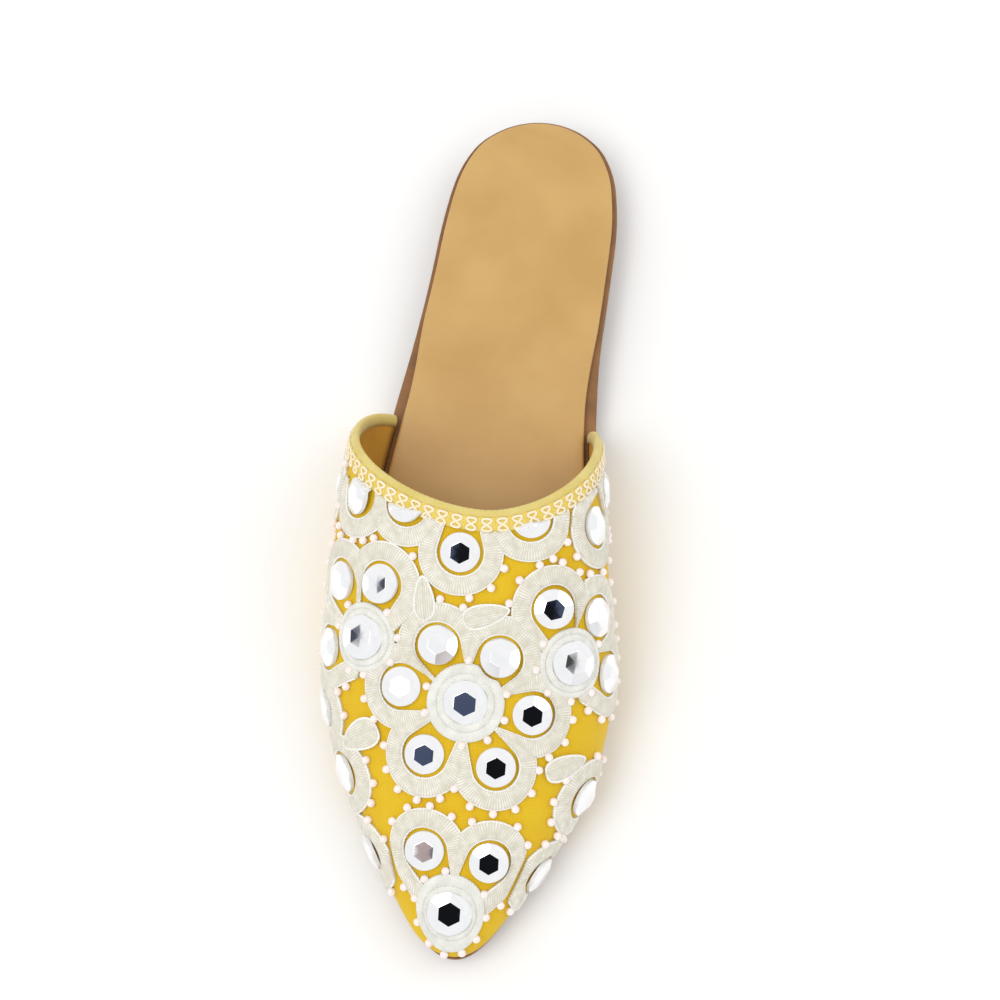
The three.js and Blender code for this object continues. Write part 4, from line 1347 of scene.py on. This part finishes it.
sock = plank(
    insole_inset, lambda y: PROFILE.top(y) + LOW_GAP, lambda y: PROFILE.top(y) + GAP + INSOLE_THICKNESS,
    INSOLE_LOW_ROUND, INSOLE_HIGH_ROUND, INSOLE_DISH,
)
make_piece("sock", [patch(sock)], [tan_smooth_leatherette()], ["insole"])

block = heel_block()
make_piece("heel_lifts", [patch(block), patch(lid(block[0]))], [stacked_leather_lifts()], ["heel"])

make_piece("folded_tape", closed_run(folded_tape()), [folded_bias_tape()], ["binding"])

make_piece(
    "woven_braid", closed_run(woven_braid()) + [patch(braid_loops(), material=1)],
    [yellow_rayon_braid(), cream_loop_thread()], ["braid"],
)

panels = defaultdict(list)
cords = defaultdict(list)
for motif in MOTIFS:
    panels[motif.panel] += coiled_ring(motif) if motif.is_ring else satin_petal(motif)
    cords[motif.panel] += [] if motif.is_ring else edge_cords(motif)
    make_piece(f"glass_{motif.name}", cut_stone(motif), [GLASS, GLASS_EDGE], [f"stone_{motif.name}"])
for panel, *shape in LEAVES:
    padding, outline = leaf(*shape)
    panels[panel] += padding
    cords[panel] += outline
for panel, grids in panels.items():
    make_piece(f"satin_{panel}", grids, [SATIN, SHADED_COIL], [f"embroidery_{panel}"])
    make_piece(f"cord_{panel}", cords[panel], [CORD])
make_piece("pearls", [patch(pearls(pearl_places()))], [pearl_lacquered_bead()])


# Floor, light and camera

def studio_paper():
    """Seamless matt paper: nearly white, with the faintest drift of tone."""
    return start_material("studio_paper", {"Roughness": 0.8}, "#F5F5F4", "#F8F8F7", patches=300).material


def lay_floor():
    """Level square under the shoe, its surface coordinates in millimetres."""
    mesh = bpy.data.meshes.new("floor")
    square = np.array([(0, 0), (1, 0), (1, 1), (0, 1)])
    corners = np.column_stack([(square - 0.5) * FLOOR_SIZE, np.zeros(4)])
    mesh.from_pydata(corners.tolist(), [], [(0, 1, 2, 3)])
    layer = mesh.uv_layers.new(name="cut")
    layer.uv.foreach_set("vector", (square * FLOOR_SIZE / MM).astype(np.float32).ravel())
    mesh.materials.append(studio_paper())
    add_object("floor", mesh)


def light_room():
    """Even white room with darker zones for the stones to mirror: a zone starts where the cosine of the angle
    to its direction passes that of its half angle."""
    world = bpy.data.worlds.new("studio")
    world.use_nodes = True
    bpy.context.scene.world = world
    tree = world.node_tree
    background = tree.nodes["Background"]
    background.inputs["Strength"].default_value = ROOM_STRENGTH
    way = add_node(tree, "TexCoord").outputs["Generated"]
    colour = "#FFFFFF"
    for direction, angle, shade in ROOM_ZONES:
        towards = {1: unit(np.array(direction))}
        facing = add_node(tree, "VectorMath", towards, {0: way}, operation="DOT_PRODUCT")
        outer, inner = np.cos(np.radians([angle + ROOM_ZONE_BLUR, angle - ROOM_ZONE_BLUR]))
        limits = {"From Min": outer, "From Max": inner}
        share = add_node(tree, "MapRange", limits, {"Value": facing.outputs["Value"]})
        colour = mix_colours(tree, share.outputs["Result"], colour, shade)
    tree.links.new(colour, background.inputs["Color"])


def hang_softbox(name, place, power):
    """Square soft light, aimed at the frame's origin by turning its back the way that it lies."""
    lamp = bpy.data.lights.new(name, "AREA")
    lamp.size = SOFTBOX_SIZE
    lamp.energy = power
    box = add_object(name, lamp)
    box.location = place
    box.rotation_euler = Vector(place).to_track_quat("Z", "Y").to_euler()


def set_camera():
    """The photograph's camera, turned the shortest way from its own aim to the middle of the shoe."""
    place = Vector(place_in_frame(CAMERA_PLACE))
    forward = Vector(CAMERA_FORWARD).normalized()
    right = Vector(CAMERA_RIGHT).normalized()
    level = Matrix((right, right.cross(forward), -forward)).transposed()
    aim = (Vector(place_in_frame(CAMERA_AIM)) - place).normalized()
    turn = forward.rotation_difference(aim).to_matrix()
    lens = bpy.data.cameras.new("camera")
    lens.sensor_width = SENSOR_MM
    lens.lens = FOCAL_WIDTHS * SENSOR_MM
    camera = add_object("camera", lens)
    camera.matrix_world = Matrix.Translation(place) @ (turn @ level).to_4x4()
    bpy.context.scene.camera = camera


lay_floor()
light_room()
for softbox in SOFTBOXES:
    hang_softbox(*softbox)
set_camera()
bpy.context.scene.view_settings.view_transform = "Standard"
